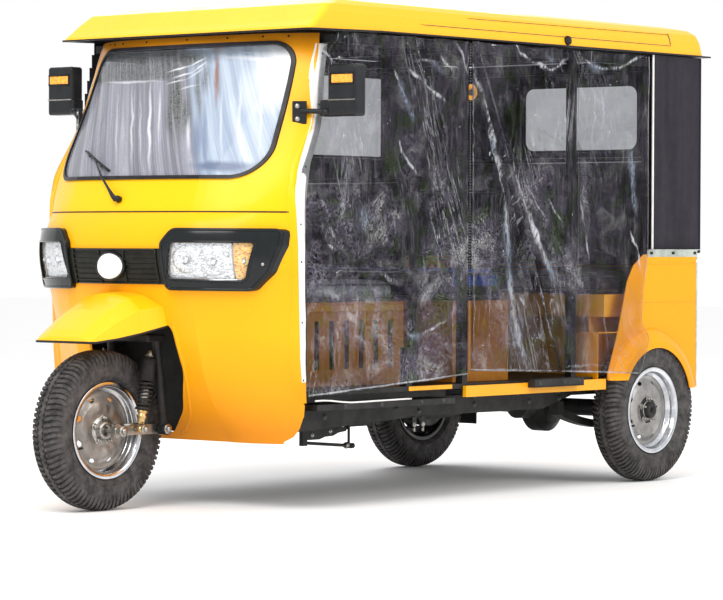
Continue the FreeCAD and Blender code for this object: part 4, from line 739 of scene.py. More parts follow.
# ------------------------------------------------------------------ mesh helpers
class Build:
    """Collects faces of several small forms into one mesh."""

    def __init__(self):
        self.v, self.f, self.mi, self.sm = [], [], [], []

    def add(self, verts, faces, mi=0, smooth=True):
        o = len(self.v)
        self.v += [tuple(p) for p in verts]
        for f in faces:
            self.f.append([i + o for i in f])
            self.mi.append(mi)
            self.sm.append(smooth)
        return self

    def slab(self, lo, hi, c=0.002, mi=0, turn=None, at=None):
        """Box with chamfered edges; turn is a matrix about at."""
        x0, y0, z0 = lo
        x1, y1, z1 = hi
        c = min(c, (x1 - x0) * 0.45, (y1 - y0) * 0.45, (z1 - z0) * 0.45)
        vs, key = [], {}
        for ix in (0, 1):
            for iy in (0, 1):
                for iz in (0, 1):
                    p = (x1 if ix else x0, y1 if iy else y0, z1 if iz else z0)
                    s = (-1 if ix else 1, -1 if iy else 1, -1 if iz else 1)
                    for ax in range(3):
                        q = [p[k] + (s[k] * c if k != ax else 0) for k in range(3)]
                        key[(ix, iy, iz, ax)] = len(vs)
                        vs.append(q)
        fs = []
        for ax in range(3):
            o1, o2 = [k for k in range(3) if k != ax]
            for side in (0, 1):
                quad = []
                for a, b in ((0, 0), (1, 0), (1, 1), (0, 1)):
                    idx = [0, 0, 0]
                    idx[ax], idx[o1], idx[o2] = side, a, b
                    quad.append(key[(idx[0], idx[1], idx[2], ax)])
                fs.append(quad)
            for a in (0, 1):
                for b in (0, 1):
                    q = []
                    for t, fa in ((0, o1), (1, o1), (1, o2), (0, o2)):
                        idx = [0, 0, 0]
                        idx[ax], idx[o1], idx[o2] = t, a, b
                        q.append(key[(idx[0], idx[1], idx[2], fa)])
                    fs.append(q)
        for ix in (0, 1):
            for iy in (0, 1):
                for iz in (0, 1):
                    fs.append([key[(ix, iy, iz, k)] for k in range(3)])
        vs = [Vector(p) for p in vs]
        if turn is not None:
            at = Vector(at) if at is not None else sum(vs, Vector()) / len(vs)
            vs = [turn @ (p - at) + at for p in vs]
        return self.add(vs, fs, mi, False)

    def tube(self, pts, r, n=8, mi=0, closed=False, flat=1.0, up=None):
        """Round or flattened bar along points."""
        pts = [Vector(p) for p in pts]
        k = len(pts)
        rad = r if hasattr(r, "__len__") else [r] * k
        vs, prev = [], None
        for i in range(k):
            a = pts[i - 1] if (i > 0 or closed) else pts[i]
            b = pts[(i + 1) % k] if (i < k - 1 or closed) else pts[i]
            t = (b - a).normalized()
            if prev is None:
                h = Vector(up) if up is not None else (Vector((0, 0, 1)) if abs(t.z) < 0.9 else Vector((1, 0, 0)))
                u = (h - t * h.dot(t)).normalized()
            elif up is not None:
                h = Vector(up)
                u = (h - t * h.dot(t)).normalized()
            else:
                u = (prev - t * prev.dot(t)).normalized()
            prev = u
            w = t.cross(u)
            for j in range(n):
                ang = 2 * math.pi * j / n
                vs.append(pts[i] + u * (rad[i] * flat * math.cos(ang)) + w * (rad[i] * math.sin(ang)))
        fs = []
        for i in range(k if closed else k - 1):
            a, b = i * n, ((i + 1) % k) * n
            for j in range(n):
                fs.append([a + j, a + (j + 1) % n, b + (j + 1) % n, b + j])
        if not closed:
            fs.append(list(range(n))[::-1])
            fs.append([(k - 1) * n + j for j in range(n)])
        return self.add(vs, fs, mi)

    def turned(self, prof, centre, axis=(1, 0, 0), n=48, mi=0, closed=True, start=None):
        """Profile of (along, radius) turned about an axis through centre."""
        ax = Vector(axis).normalized()
        u = Vector(start).normalized() if start is not None else (
            Vector((0, 0, 1)) if abs(ax.z) < 0.9 else Vector((1, 0, 0)))
        u = (u - ax * u.dot(ax)).normalized()
        w = ax.cross(u)
        c = Vector(centre)
        k = len(prof)
        vs = []
        for j in range(n):
            ang = 2 * math.pi * j / n
            e = u * math.cos(ang) + w * math.sin(ang)
            for a, r in prof:
                vs.append(c + ax * a + e * r)
        fs = []
        for j in range(n):
            p, q = j * k, ((j + 1) % n) * k
            for i in range(k if closed else k - 1):
                i2 = (i + 1) % k
                fs.append([p + i, p + i2, q + i2, q + i])
        return self.add(vs, fs, mi)

    def dome(self, centre, axis, r, h, n=16, mi=0, rings=4):
        """Low round head with its base at centre."""
        prof = [(h * math.sin(math.pi / 2 * i / rings), max(r * math.cos(math.pi / 2 * i / rings), 1e-5))
                for i in range(rings + 1)]
        prof = [(-0.001, r)] + prof
        return self.turned(prof, centre, axis, n, mi, closed=False)

    def bolt(self, at, axis, r=0.007, h=0.006, mi=0, washer=True):
        ax = Vector(axis).normalized()
        at = Vector(at)
        if washer:
            self.turned([(-0.001, 0.0), (-0.001, r * 1.5), (0.0012, r * 1.5), (0.0016, r * 1.1), (0.0016, 0.0)], at, ax,
                        18, mi, closed=False)
        prof = [(0.0, 0.0), (0.0, r), (h * 0.8, r), (h, r * 0.82), (h, 0.0)]
        return self.turned(prof, at, ax, 6, mi, closed=False)

    def done(self, name, mats, body="body", takes=(), slot=None, subdiv=0):
        me = bpy.data.meshes.new(name)
        me.from_pydata(self.v, [], self.f)
        for p, mi, sm in zip(me.polygons, self.mi, self.sm):
            p.material_index = mi
            p.use_smooth = sm
        bm = bmesh.new()
        bm.from_mesh(me)
        bmesh.ops.remove_doubles(bm, verts=bm.verts, dist=1e-6)
        bmesh.ops.recalc_face_normals(bm, faces=bm.faces)
        bm.to_mesh(me)
        bm.free()
        for m in (mats if isinstance(mats, (list, tuple)) else [mats]):
            me.materials.append(M[m])
        o = bpy.data.objects.new(name, me)
        bpy.context.scene.collection.objects.link(o)
        if subdiv:
            s = o.modifiers.new("smooth", "SUBSURF")
            s.levels = s.render_levels = subdiv
        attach(o, body)
        if takes:
            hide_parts(*takes)
        return o


TREES = {}


def tree(name):
    if name not in TREES:
        o = N[name]
        vs = [v.co.copy() for v in o.data.vertices]
        fs = [list(p.vertices) for p in o.data.polygons]
        TREES[name] = BVHTree.FromPolygons(vs, fs)
    return TREES[name]


def hit(name, origin, way):
    p, n, i, d = tree(name).ray_cast(Vector(origin), Vector(way).normalized())
    return p, n


def front(name, x, z, off=0.0):
    """Point on the front face of a node at (x, z), moved outward by off."""
    p, n = hit(name, (x, -3.0, z), (0, 1, 0))
    if p is None:
        return None
    if n.y > 0:
        n = -n
    return p + n * off


def lerp_table(rows, t):
    """Value at t from sorted (key, value) rows."""
    if t <= rows[0][0]:
        return rows[0][1]
    for (a, va), (b, vb) in zip(rows, rows[1:]):
        if t <= b:
            return va + (vb - va) * (t - a) / (b - a)
    return rows[-1][1]


def arc_loop(pts, radii, seg=6):
    """Rounded polygon in 2-D as a list of points."""
    out = []
    n = len(pts)
    for i in range(n):
        p, a, b = Vector(pts[i]), Vector(pts[i - 1]), Vector(pts[(i + 1) % n])
        u, w = (a - p).normalized(), (b - p).normalized()
        half = u.angle(w) / 2
        r = radii[i] if hasattr(radii, "__len__") else radii
        t = r / math.tan(half)
        c = p + (u + w).normalized() * (r / math.sin(half))
        s, e = p + u * t - c, p + w * t - c
        for k in range(seg + 1):
            f = k / seg
            v = (s * (1 - f) + e * f)
            out.append(c + v.normalized() * r)
    return out


# ------------------------------------------------------------------ tyres and rims
CARCASS = [(-42.5, 157.5), (-43, 170), (-47, 174.5), (-52, 178), (-55.5, 183), (-58, 187), (-59.6, 188.2), (-60.2, 190.5),
           (-59.4, 193), (-60.5, 198), (-61.4, 206), (-61.6, 216), (-60.8, 228), (-58.0, 241), (-53.5, 252.5),
           (-46.5, 262), (-37, 268), (-24, 271.5), (-12, 273), (0, 273.5)]
CARCASS = CARCASS + [(-x, r) for x, r in reversed(CARCASS[:-1])]


def tyre(name, node, centre, body, pitches, seed):
    cx, cy, cz = centre
    b = Build()
    b.turned([(x / 1000, r / 1000) for x, r in CARCASS], centre, (1, 0, 0), 128)
    # shoulder lugs wrap from the tread onto the side wall
    line = [(15, 280, 271), (26, 279.2, 269), (37, 276.8, 266), (46, 272.0, 260.5), (53, 264.5, 253), (58, 254, 243),
            (61.2, 242, 233), (62.3, 231, 224)]
    short = line[:6] + [(60.4, 245.0, 236)]

    def place(x, r, ang):
        return (cx + x / 1000, cy + r / 1000 * math.cos(ang), cz + r / 1000 * math.sin(ang))

    step = 2 * math.pi / pitches
    for k in range(pitches):
        for side in (-1, 1):
            mid = (k + (0.5 if side > 0 else 0.0)) * step
            use = line if k % 2 == 0 else short
            vs = []
            for i, (x, r, r0) in enumerate(use):
                f = i / (len(use) - 1)
                skew = step * (0.55 - 1.0 * min(1, f * 1.6))
                half = step * (0.25 + 0.06 * f)
                for rr, hh in ((r, half), (r0, half * 1.25)):
                    for sg in (-1, 1):
                        vs.append(place(side * x, rr, mid + skew * 0.5 + sg * hh))
            fs = []
            for i in range(len(use) - 1):
                a, c = i * 4, (i + 1) * 4
                fs += [[a, a + 1, c + 1, c], [a, c, c + 2, a + 2], [a + 1, a + 3, c + 3, c + 1]]
            e = (len(use) - 1) * 4
            fs += [[0, 2, 3, 1], [e, e + 1, e + 3, e + 2]]
            b.add(vs, fs, 0, False)
    # zigzag rib round the middle
    n = pitches * 2
    vs = []
    for k in range(n):
        ang = k * step / 2
        z = 3.6 if k % 2 else -3.6
        for x, r in ((-10.5 + z, 271), (-9.0 + z, 280), (9.0 + z, 280), (10.5 + z, 271)):
            vs.append(place(x, r, ang))
    fs = []
    for k in range(n):
        a, c = k * 4, ((k + 1) % n) * 4
        fs += [[a, a + 1, c + 1, c], [a + 1, a + 2, c + 2, c + 1], [a + 2, a + 3, c + 3, c + 2]]
    b.add(vs, fs, 0, False)
    return b.done(name, "tyre", body, (node,), "tyre_rubber")


FLANGE = [(-50, 168.5), (-49.4, 170), (-47.2, 170), (-46, 168.4), (-44.6, 158.5), (-42, 156), (-24, 154), (-18, 150),
          (-14, 140.5), (-9, 138.8), (9, 138.8), (14, 140.5), (18, 150), (24, 154), (42, 156), (44.6, 158.5), (46, 168.4),
          (47.2, 170), (49.4, 170), (50, 168.5), (48.4, 154.5), (45, 151.6), (27, 149.6), (21.5, 146.5), (17, 136.6),
          (11, 134.4), (-11, 134.4), (-17, 136.6), (-21.5, 146.5), (-27, 149.6), (-45, 151.6), (-48.4, 154.5)]


def rim(name, node, centre, body, side, holes, nuts, dark_hub_and_shaded_inside):
    """Pressed steel rim: barrel with rolled flanges, stamped disc with slots, hub and nuts."""
    c = Vector(centre)
    b = Build()
    b.turned([(x / 1000, r / 1000) for x, r in FLANGE], centre, (1, 0, 0), 96, 0)
    # disc as a polar sheet of two skins
    rows = []
    for i in range(42):
        r = 50 + 85.5 * i / 41
        if r < 62:
            x = 21.5
        elif r < 96:
            x = 22.0 + 1.5 * math.sin((r - 62) / 34 * math.pi)
        elif r < 128:
            f = (r - 96) / 32
            x = 22 - 15.5 * (3 * f * f - 2 * f ** 3)
        else:
            x = 6.5 + (r - 128) * 0.2
        rows.append((r, x))
    seg = 180
    hole_r, hole_a, hole_b = 113.0, 15.0, 8.0
    vs, fs = [], []
    for skin in (0.0, -3.2):
        for r, x in rows:
            for j in range(seg):
                th = 2 * math.pi * j / seg
                lump = 0.0
                if 56 < r < 104:
                    env = math.sin((r - 56) / 48 * math.pi)
                    lump = 3.2 * env * math.sin(th * holes / 2.0 * 1.0 + 0.6) ** 3
                rr = r
                for k in range(holes):
                    a0 = 2 * math.pi * (k + 0.5) / holes
                    dth = (th - a0 + math.pi) % (2 * math.pi) - math.pi
                    u, w = dth * hole_r / hole_a, (r - hole_r) / hole_b
                    e = math.hypot(u, w)
                    if 0.80 < e < 1.25:
                        lump += 1.4 * (1 - abs(e - 1.0) / 0.25)
                vs.append(c + Vector((side * (x + lump + skin) / 1000, rr / 1000 * math.cos(th),
                                      rr / 1000 * math.sin(th))))
    nr = len(rows)
    inside = {}
    for i, (r, x) in enumerate(rows):
        for j in range(seg):
            th = 2 * math.pi * j / seg
            for k in range(holes):
                a0 = 2 * math.pi * (k + 0.5) / holes
                dth = (th - a0 + math.pi) % (2 * math.pi) - math.pi
                if math.hypot(dth * hole_r / hole_a, (r - hole_r) / hole_b) < 1.0:
                    inside[(i, j)] = True
    cells = [[True] * seg for _ in range(nr - 1)]
    for i in range(nr - 1):
        for j in range(seg):
            j2 = (j + 1) % seg
            if (i, j) in inside and (i + 1, j) in inside and (i, j2) in inside and (i + 1, j2) in inside:
                cells[i][j] = False
    off = nr * seg
    for i in range(nr - 1):
        for j in range(seg):
            if not cells[i][j]:
                continue
            j2 = (j + 1) % seg
            q = [i * seg + j, i * seg + j2, (i + 1) * seg + j2, (i + 1) * seg + j]
            fs.append(q)
            fs.append([v + off for v in reversed(q)])
            for (a, d), (ii, jj) in (((q[0], q[1]), (i - 1, j)), ((q[2], q[3]), (i + 1, j)),
                                     ((q[3], q[0]), (i, (j - 1) % seg)), ((q[1], q[2]), (i, (j + 1) % seg))):
                if 0 <= ii < nr - 1 and not cells[ii][jj]:
                    fs.append([a, a + off, d + off, d])
    b.add(vs, fs, 1)
    # hub barrel and inner flange
    hub = [(-26, 12.5), (-26, 48), (-22, 51.5), (18, 51.5), (23, 52), (24, 50), (24, 36), (30, 33), (41, 32), (44, 29.5),
           (44, 12.5)]
    if side < 0:
        hub = [(-x, r) for x, r in hub]
    b.turned([(x / 1000, r / 1000) for x, r in hub], centre, (1, 0, 0), 48, 2)
    ring = [(24, 36.5), (27.5, 36.5), (28.3, 35), (28.3, 30)]
    b.turned([(side * x / 1000, r / 1000) for x, r in ring], centre, (1, 0, 0), 48, 1, closed=False)
    for k in range(nuts):
        a = 2 * math.pi * k / nuts + 0.3
        p = c + Vector((side * 0.0243, 0.0435 * math.cos(a), 0.0435 * math.sin(a)))
        b.bolt(p, (side, 0, 0), 0.0082, 0.011, 3)
        b.turned([(0.010, 0.0), (0.010, 0.0042), (0.019, 0.0042), (0.0195, 0.0030), (0.0195, 0.0)], p, (side, 0, 0), 10, 3,
                 closed=False)
    # valve
    a = math.radians(205)
    d = Vector((0, math.cos(a), math.sin(a)))
    p0 = c + d * 0.1455 + Vector((side * 0.020, 0, 0))
    b.tube([p0, p0 + Vector((side * 0.012, 0, 0)) - d * 0.004, p0 + Vector((side * 0.026, 0, 0)) - d * 0.014],
           [0.0052, 0.0045, 0.0036], 10, 4)
    mats = ["rear_rim_bright", "rear_rim_disc", "steel_black", "zinc", "rubber"] if dark_hub_and_shaded_inside else \
        ["rim_bright", "rim_disc", "zinc", "zinc", "rubber"]
    return b.done(name, mats, body, (node,), "steel_rim")


WB = 2.458
FC, LC, RC = S(0, 0, 0.28), S(0.586, WB, 0.28), S(-0.586, WB, 0.28)
tyre("front_tyre_tread", "front_tyre", FC, "front_wheel", 84, 1)
tyre("rear_left_tyre_tread", "rear_left_tyre", LC, "rear_left_wheel", 90, 2)
tyre("rear_right_tyre_tread", "rear_right_tyre", RC, "rear_right_wheel", 90, 3)
rim("front_wheel_rim", "front_rim", FC, "front_wheel", 1, 8, 5, False)
rim("rear_left_wheel_rim", "rear_left_rim", LC, "rear_left_wheel", 1, 8, 5, True)
rim("rear_right_wheel_rim", "rear_right_rim", RC, "rear_right_wheel", -1, 8, 5, True)

# ------------------------------------------------------------------ front suspension
for sx, tag in ((1, "left"), (-1, "right")):
    lo, hi = S(sx * 0.112, 0.097, 0.292), S(sx * 0.112, 0.150, 0.572)
    d = (hi - lo).normalized()
    b = Build()
    L = (hi - lo).length
    # lower eye, brass coloured collar, rod, sleeve, top eye
    b.turned([(-0.010, 0.0072), (-0.010, 0.0112), (0.010, 0.0112), (0.010, 0.0072)], S(sx * 0.112, 0.097, 0.284),
             (1, 0, 0), 24, 1)
    b.turned([(0.010, 0.004), (0.010, 0.012), (0.022, 0.0145), (0.030, 0.0145), (0.032, 0.018), (0.040, 0.018),
              (0.042, 0.0155), (0.048, 0.0155), (0.050, 0.020), (0.058, 0.020), (0.060, 0.012), (0.060, 0.004)], lo, d, 28, 1)
    b.turned([(0.060, 0.004), (0.060, 0.0150), (0.172, 0.0150), (0.172, 0.004)], lo, d, 24, 0)
    b.turned([(0.060, 0.010), (0.060, 0.0270), (0.064, 0.0280), (0.068, 0.0270), (0.069, 0.012)], lo, d, 32, 2)
    b.turned([(0.160, 0.012), (0.160, 0.0265), (0.164, 0.0280), (0.226, 0.0270), (0.236, 0.024), (0.242, 0.018),
              (0.246, 0.010)], lo, d, 32, 3)
    b.turned([(0.240, 0.003), (0.240, 0.009), (L - 0.012, 0.009), (L - 0.012, 0.003)], lo, d, 18, 0)
    b.bolt(lo + d * 0.250, d, 0.012, 0.010, 0)
    b.done("spring_unit_" + tag, ["zinc", "brass", "steel_black", "rubber"], "steering",
           ("front_shocks",), "bare_steel")
    u = d.cross(Vector((1, 0, 0))).normalized()
    w = d.cross(u)
    turns, steps = 6.2, 160
    pts = []
    for i in range(steps + 1):
        f = i / steps
        a = 2 * math.pi * turns * f
        pts.append(lo + d * (0.0705 + 0.089 * f) + (u * math.cos(a) + w * math.sin(a)) * 0.0238)
    c = Build()
    c.tube(pts, 0.0038, 8)
    c.done("coil_spring_" + tag, "steel_black", "steering", slot="bare_steel")

# axle nuts, arm bolts and the small linkage on the leading arms
b = Build()
for sx in (-1, 1):
    b.bolt(S(sx * 0.1265, 0, 0.28), (sx, 0, 0), 0.013, 0.010, 0)
    b.turned([(0.0, 0.009), (0.0, 0.0155), (0.004, 0.0155), (0.004, 0.009)], S(sx * 0.0965, 0, 0.28), (sx, 0, 0), 24, 0)
    b.turned([(0.0, 0.0), (0.0, 0.020), (0.002, 0.0215), (0.006, 0.0215), (0.008, 0.018), (0.008, 0.0)],
             S(sx * 0.125, 0.215, 0.28), (sx, 0, 0), 24, 1, closed=False)
    b.bolt(S(sx * 0.133, 0.215, 0.28), (sx, 0, 0), 0.012, 0.011, 0)
    b.bolt(S(sx * 0.135, 0.097, 0.284), (sx, 0, 0), 0.0105, 0.010, 0)
    b.tube([S(sx * 0.0985, 0.03, 0.2985), S(sx * 0.0985, 0.06, 0.302), S(sx * 0.0985, 0.10, 0.302)], 0.004, 8, 0)
b.done("front_axle_nuts", ["zinc", "steel_black"], "steering", slot="bare_steel")

# ------------------------------------------------------------------ lamps
LENS = [(0.240, 0.810), (0.496, 0.804), (0.528, 0.937), (0.268, 0.937)]
LENS_R = [0.020, 0.024, 0.012, 0.016]
AMBER_X = 0.460


def inside_poly(p, loop):
    c = False
    j = len(loop) - 1
    for i in range(len(loop)):
        a, b = loop[i], loop[j]
        if (a[1] > p[1]) != (b[1] > p[1]) and p[0] < (b[0] - a[0]) * (p[1] - a[1]) / (b[1] - a[1]) + a[0]:
            c = not c
        j = i
    return c


def across(z):
    """Left and right x of the lens outline at height z."""
    xs = []
    for i in range(4):
        (xa, za), (xb, zb) = LENS[i], LENS[(i + 1) % 4]
        if (za - z) * (zb - z) <= 0 and abs(za - zb) > 1e-6:
            xs.append(xa + (xb - xa) * (z - za) / (zb - za))
    return (min(xs), max(xs)) if xs else (None, None)


for sx, tag in ((1, "left"), (-1, "right")):
    rows, cols = 34, 66
    vs, ok, mi_of = [], [], []
    for i in range(rows):
        z = 0.8105 + (0.9345 - 0.8105) * i / (rows - 1)
        xa, xb = across(z)
        xa, xb = xa + 0.003, xb - 0.003
        for j in range(cols):
            x = xa + (xb - xa) * j / (cols - 1)
            p, n = hit("front_cowl", (sx * x, -3.0, z), (0, 1, 0))
            # two round bowls, upright flutes between, a pillow pattern in the amber end
            lift = 0.0015
            if x < AMBER_X:
                lift += 0.0012 * (0.5 + 0.5 * math.cos(x * 900))
                for bx, bz, br in ((0.312, 0.876, 0.040), (0.402, 0.870, 0.042)):
                    e = math.hypot(x - bx, z - bz) / br
                    if e < 1.0:
                        lift = 0.0012 + 0.0052 * e ** 2 + 0.0005 * math.cos(e * 28)
                    elif e < 1.18:
                        lift = 0.0064 * (1 - (e - 1.0) / 0.18) + 0.0015
            else:
                lift += 0.0016 * (0.5 + 0.5 * math.cos(x * 620)) * (0.5 + 0.5 * math.cos(z * 620))
                e = math.hypot(x - 0.489, z - 0.872) / 0.026
                if e < 1.0:
                    lift = 0.0012 + 0.0040 * e ** 2
            vs.append(p + Vector((0, -lift, 0)))
            mi_of.append(0 if x < AMBER_X else 1)
    b = Build()
    for i in range(rows - 1):
        for j in range(cols - 1):
            a = i * cols + j
            q = [vs[a], vs[a + 1], vs[a + cols + 1], vs[a + cols]]
            b.add(q, [[0, 1, 2, 3]], mi_of[a])
    # bulbs and their collars
    for bx, bz, br, m in ((0.312, 0.876, 0.0125, 2), (0.402, 0.870, 0.0125, 2), (0.489, 0.872, 0.008, 2)):
        p = front("front_cowl", sx * bx, bz, 0.001)
        b.turned([(0.0, br * 1.2), (0.0015, br * 1.25), (0.003, br * 1.05)], p, (0, -1, 0), 24, 3, closed=False)
        b.dome(p, (0, -1, 0), br, 0.0072, 20, m)
    # upright rib between the clear and the amber part
    pts = [front("front_cowl", sx * AMBER_X, 0.812 + 0.1215 * k / 8, 0.0045) for k in range(9)]
    b.tube(pts, 0.0022, 6, 3)
    b.done("lamp_inside_" + tag, ["reflector", "amber_facets", "bulb", "zinc"], slot="clear_glass")
    # bright lower edge and the fixing screw of the surround
    b = Build()
    pts = [front("headlamps", sx * (0.254 + (0.488 - 0.254) * k / 12), 0.8085 - 0.0015 * math.sin(k / 12 * math.pi), 0.0012)
           for k in range(13)]
    pts = [p for p in pts if p is not None]
    b.tube(pts, 0.0026, 6, 0)
    b.done("lamp_edge_" + tag, ["rim_bright"], slot="clear_glass")
    b = Build()
    p, n = hit("lamp_surrounds", (sx * 0.545, -3.0, 0.862), (0, 1, 0))
    if n.y > 0:
        n = -n
    b.turned([(-0.001, 0.0), (-0.001, 0.0082), (0.0012, 0.0082), (0.0022, 0.0066)], p, n, 24, 1, closed=False)
    b.dome(p + n * 0.0012, n, 0.0062, 0.0030, 20, 0)
    b.done("surround_screw_" + tag, ["zinc", "steel_black"])

# ------------------------------------------------------------------ grille slats and plain disc
b = Build()
for sx in (-1, 1):
    for k, z in enumerate((0.806, 0.824, 0.842, 0.860, 0.878, 0.896)):
        run = []
        for j in range(10):
            x = sx * (0.062 + (0.205 - 0.062) * j / 9)
            q = front("grille_band", x, z, 0.0035)
            if q is not None:
                run.append(q)
        if len(run) > 2:
            b.tube(run, 0.0042, 6, 0, flat=0.5, up=(0, 0, 1))
    for z0, z1 in ((0.795, 0.911),):
        for x in (0.060, 0.201):
            run = [front("grille_band", sx * x, z0 + (z1 - z0) * j / 6, 0.003) for j in range(7)]
            b.tube([q for q in run if q is not None], 0.0040, 6, 0)
top = [front("grille_band", -0.2 + 0.4 * j / 20, 0.9105, 0.002) for j in range(21)]
bot = [front("grille_band", -0.2 + 0.4 * j / 20, 0.7945, 0.002) for j in range(21)]
for run in (top, bot):
    b.tube([q for q in run if q is not None], 0.0038, 8, 1)
b.done("grille_slats", ["grille_black", "dark_gloss"], slot="dark_trim")
c0 = S(0, 0.0520, 0.852)


def oval(b, prof, mi, n=64, closed=False):
    """Turned profile stretched sideways: (along, radius) rows about the front-facing axis."""
    vs = []
    for j in range(n):
        ang = 2 * math.pi * j / n
        for a, r in prof:
            vs.append(c0 + Vector((1.36 * r * math.cos(ang), -a + 0.055 * (1.36 * r * math.cos(ang)) ** 2 / 0.05, r * math.sin(ang))))
    k = len(prof)
    fs = []
    for j in range(n):
        p, q = j * k, ((j + 1) % n) * k
        for i in range(k if closed else k - 1):
            fs.append([p + i, p + (i + 1) % k, q + (i + 1) % k, q + i])
    b.add(vs, fs, mi)
    return b


b = Build()
oval(b, [(0.0065, 1e-5), (0.0062, 0.016), (0.0052, 0.032), (0.0034, 0.0415), (0.001, 0.0448), (-0.006, 0.0452)], 0)
b.done("plain_disc", ["white_disc"], slot="dark_trim")
b = Build()
oval(b, [(-0.010, 0.0456), (-0.010, 0.0512), (-0.002, 0.0518), (0.002, 0.0500), (0.002, 0.0466), (-0.002, 0.0456)], 0, closed=True)
b.done("disc_bezel", ["dark_gloss"], slot="dark_trim")

# ------------------------------------------------------------------ seam under the windscreen and edge trims
NOSE_TOP = [(-0.606, 0.378), (-0.560, 0.318), (-0.470, 0.244), (-0.300, 0.152), (0.0, 0.120)]


def plan_point(x, z, off=0.0):
    """Point on the front shell at (x, z), found from the front."""
    for name in ("front_cowl", "windscreen_frame"):
        p, n = hit(name, (x, -3.0, z), (0, 1, 0))
        if p is not None:
            if n.y > 0:
                n = -n
            return p + n * off
    return None


def side_point(sx, st, z, off=0.0):
    for name in ("front_cowl", "windscreen_frame"):
        p, n = hit(name, (sx * 2.0, st + A, z), (-sx, 0, 0))
        if p is not None and p.x * sx > 0.4:
            if n.x * sx < 0:
                n = -n
            return p + n * off
    return None


run = []
for k in range(61):
    x = -0.585 + 1.17 * k / 60
    p = plan_point(x, 1.0425, 0.0006)
    if p is not None:
        run.append(p)
b = Build()
b.tube(run, 0.0028, 6, 0)
for sx in (-1, 1):
    e = [side_point(sx, st, 1.0425, 0.0006) for st in (0.322, 0.330, 0.338, 0.346)]
    e = [q for q in e if q is not None]
    if len(e) > 1:
        b.tube(e, 0.0028, 6, 0)
b.done("cowl_seam", ["seal"], slot="black_rubber")

# door edge of the cowl and the white strip behind it
EDGE = [(0.297, 0.379), (0.323, 0.394), (0.332, 0.406), (0.374, 0.408), (0.450, 0.381), (0.544, 0.372), (0.730, 0.365),
        (0.930, 0.359), (1.030, 0.350), (1.081, 0.353), (1.131, 0.363), (1.182, 0.375), (1.223, 0.395), (1.259, 0.417),
        (1.300, 0.441), (1.336, 0.462), (1.387, 0.482), (1.438, 0.493), (1.489, 0.505), (1.565, 0.527), (1.636, 0.553)]
STRIP = [(0.330, 0.414), (0.420, 0.412), (0.560, 0.410), (0.740, 0.407), (0.954, 0.405), (1.030, 0.407), (1.132, 0.416),
         (1.219, 0.440), (1.296, 0.486), (1.358, 0.514), (1.460, 0.540), (1.540, 0.558), (1.640, 0.590)]
ROLLED = [(0.440, 0.006), (1.030, 0.006), (1.120, -0.004), (1.400, -0.006), (1.500, -0.0095), (1.640, -0.0095)]
STRIP_X = [(1.044, 0.0), (1.165, -0.001), (1.400, -0.031), (1.550, -0.056), (1.712, -0.079)]
for sx, tag in ((1, "left"), (-1, "right")):
    b = Build()
    rows = 70
    vs = []
    heights = [0.380 + (1.636 - 0.380) * i / (rows - 1) for i in range(rows)]
    for z in heights:
        y0, y1 = lerp_table(EDGE, z) - 0.0005, lerp_table(STRIP, z)
        y1 = max(y1, y0 + 0.006)
        wob = 0.0012 * math.sin(z * 21) + 0.0008 * math.sin(z * 57)
        w = y1 - y0
        dx = lerp_table(STRIP_X, z)
        lead = 0.012
        # the shell's rolled edge covers the strip's front part: profile (along, x), then its places (along)
        prof = [(-lead, 0.5965), (-lead * 0.5, 0.6020 if z > 1.40 else 0.5995), (0.0, 0.6056 if z > 1.40 else 0.6030),
                (0.06 * w, 0.6064), (0.25 * w, 0.6068), (0.5 * w, 0.6070), (0.8 * w, 0.6068), (0.97 * w, 0.6060), (w, 0.6046)]
        lip = min(lerp_table(ROLLED, z), 0.55 * w)
        for a in (-lead, -lead + (lip + lead) * 0.34, -lead + (lip + lead) * 0.67, lip, lip + 0.0008, lip + (w - lip) * 0.3,
                  lip + (w - lip) * 0.6, lip + (w - lip) * 0.95, w):
            g = max(a, 0.0) / w
            st = y0 + a + wob * g
            xs = lerp_table(prof, a) + dx * (1 - 0.12 * g) + (0.0009 if a <= lip else 0.0)
            if z < 1.044 and a < -lead * 0.3:
                q, _n = hit("front_cowl", (sx * 2.0, st + A, z), (-sx, 0, 0))
                if q is not None and abs(q.x) > 0.50:
                    xs = min(xs, abs(q.x) + 0.0012)
            if z > 1.046:
                q, _n = hit("windscreen_frame", (sx * 2.0, st + A, z), (-sx, 0, 0))
                if q is not None and abs(q.x) > 0.45:
                    xs = abs(q.x) + 0.0014 if a < -lead * 0.5 else max(xs, abs(q.x) + (0.0016 if z < 1.5 else 0.0030))
            vs.append(S(sx * xs, st, z))
    k = 9
    fs = [[i * k + j, i * k + j + 1, (i + 1) * k + j + 1, (i + 1) * k + j] for i in range(rows - 1) for j in range(k - 1)]
    b.add(vs, fs, 0)
    for i in range(rows - 1):
        for j in range(8 if heights[i] < 0.445 else 3):
            b.mi[i * (k - 1) + j] = 2 if heights[i] < 1.044 else 3 if heights[i] < 1.500 else 0
    # small screws along it
    for z in (0.46, 0.66, 0.87, 1.00, 1.20, 1.42, 1.60):
        y = (lerp_table(EDGE, z) + lerp_table(STRIP, z)) / 2
        b.dome(S(sx * (0.6068 + lerp_table(STRIP_X, z) * 0.94), y, z), (sx, 0, 0), 0.0038, 0.0022, 12, 1)
    b.done("door_edge_trim_" + tag, ["white_trim", "steel_black", "yellow_nose", "yellow_frame"], slot="clear_pvc")

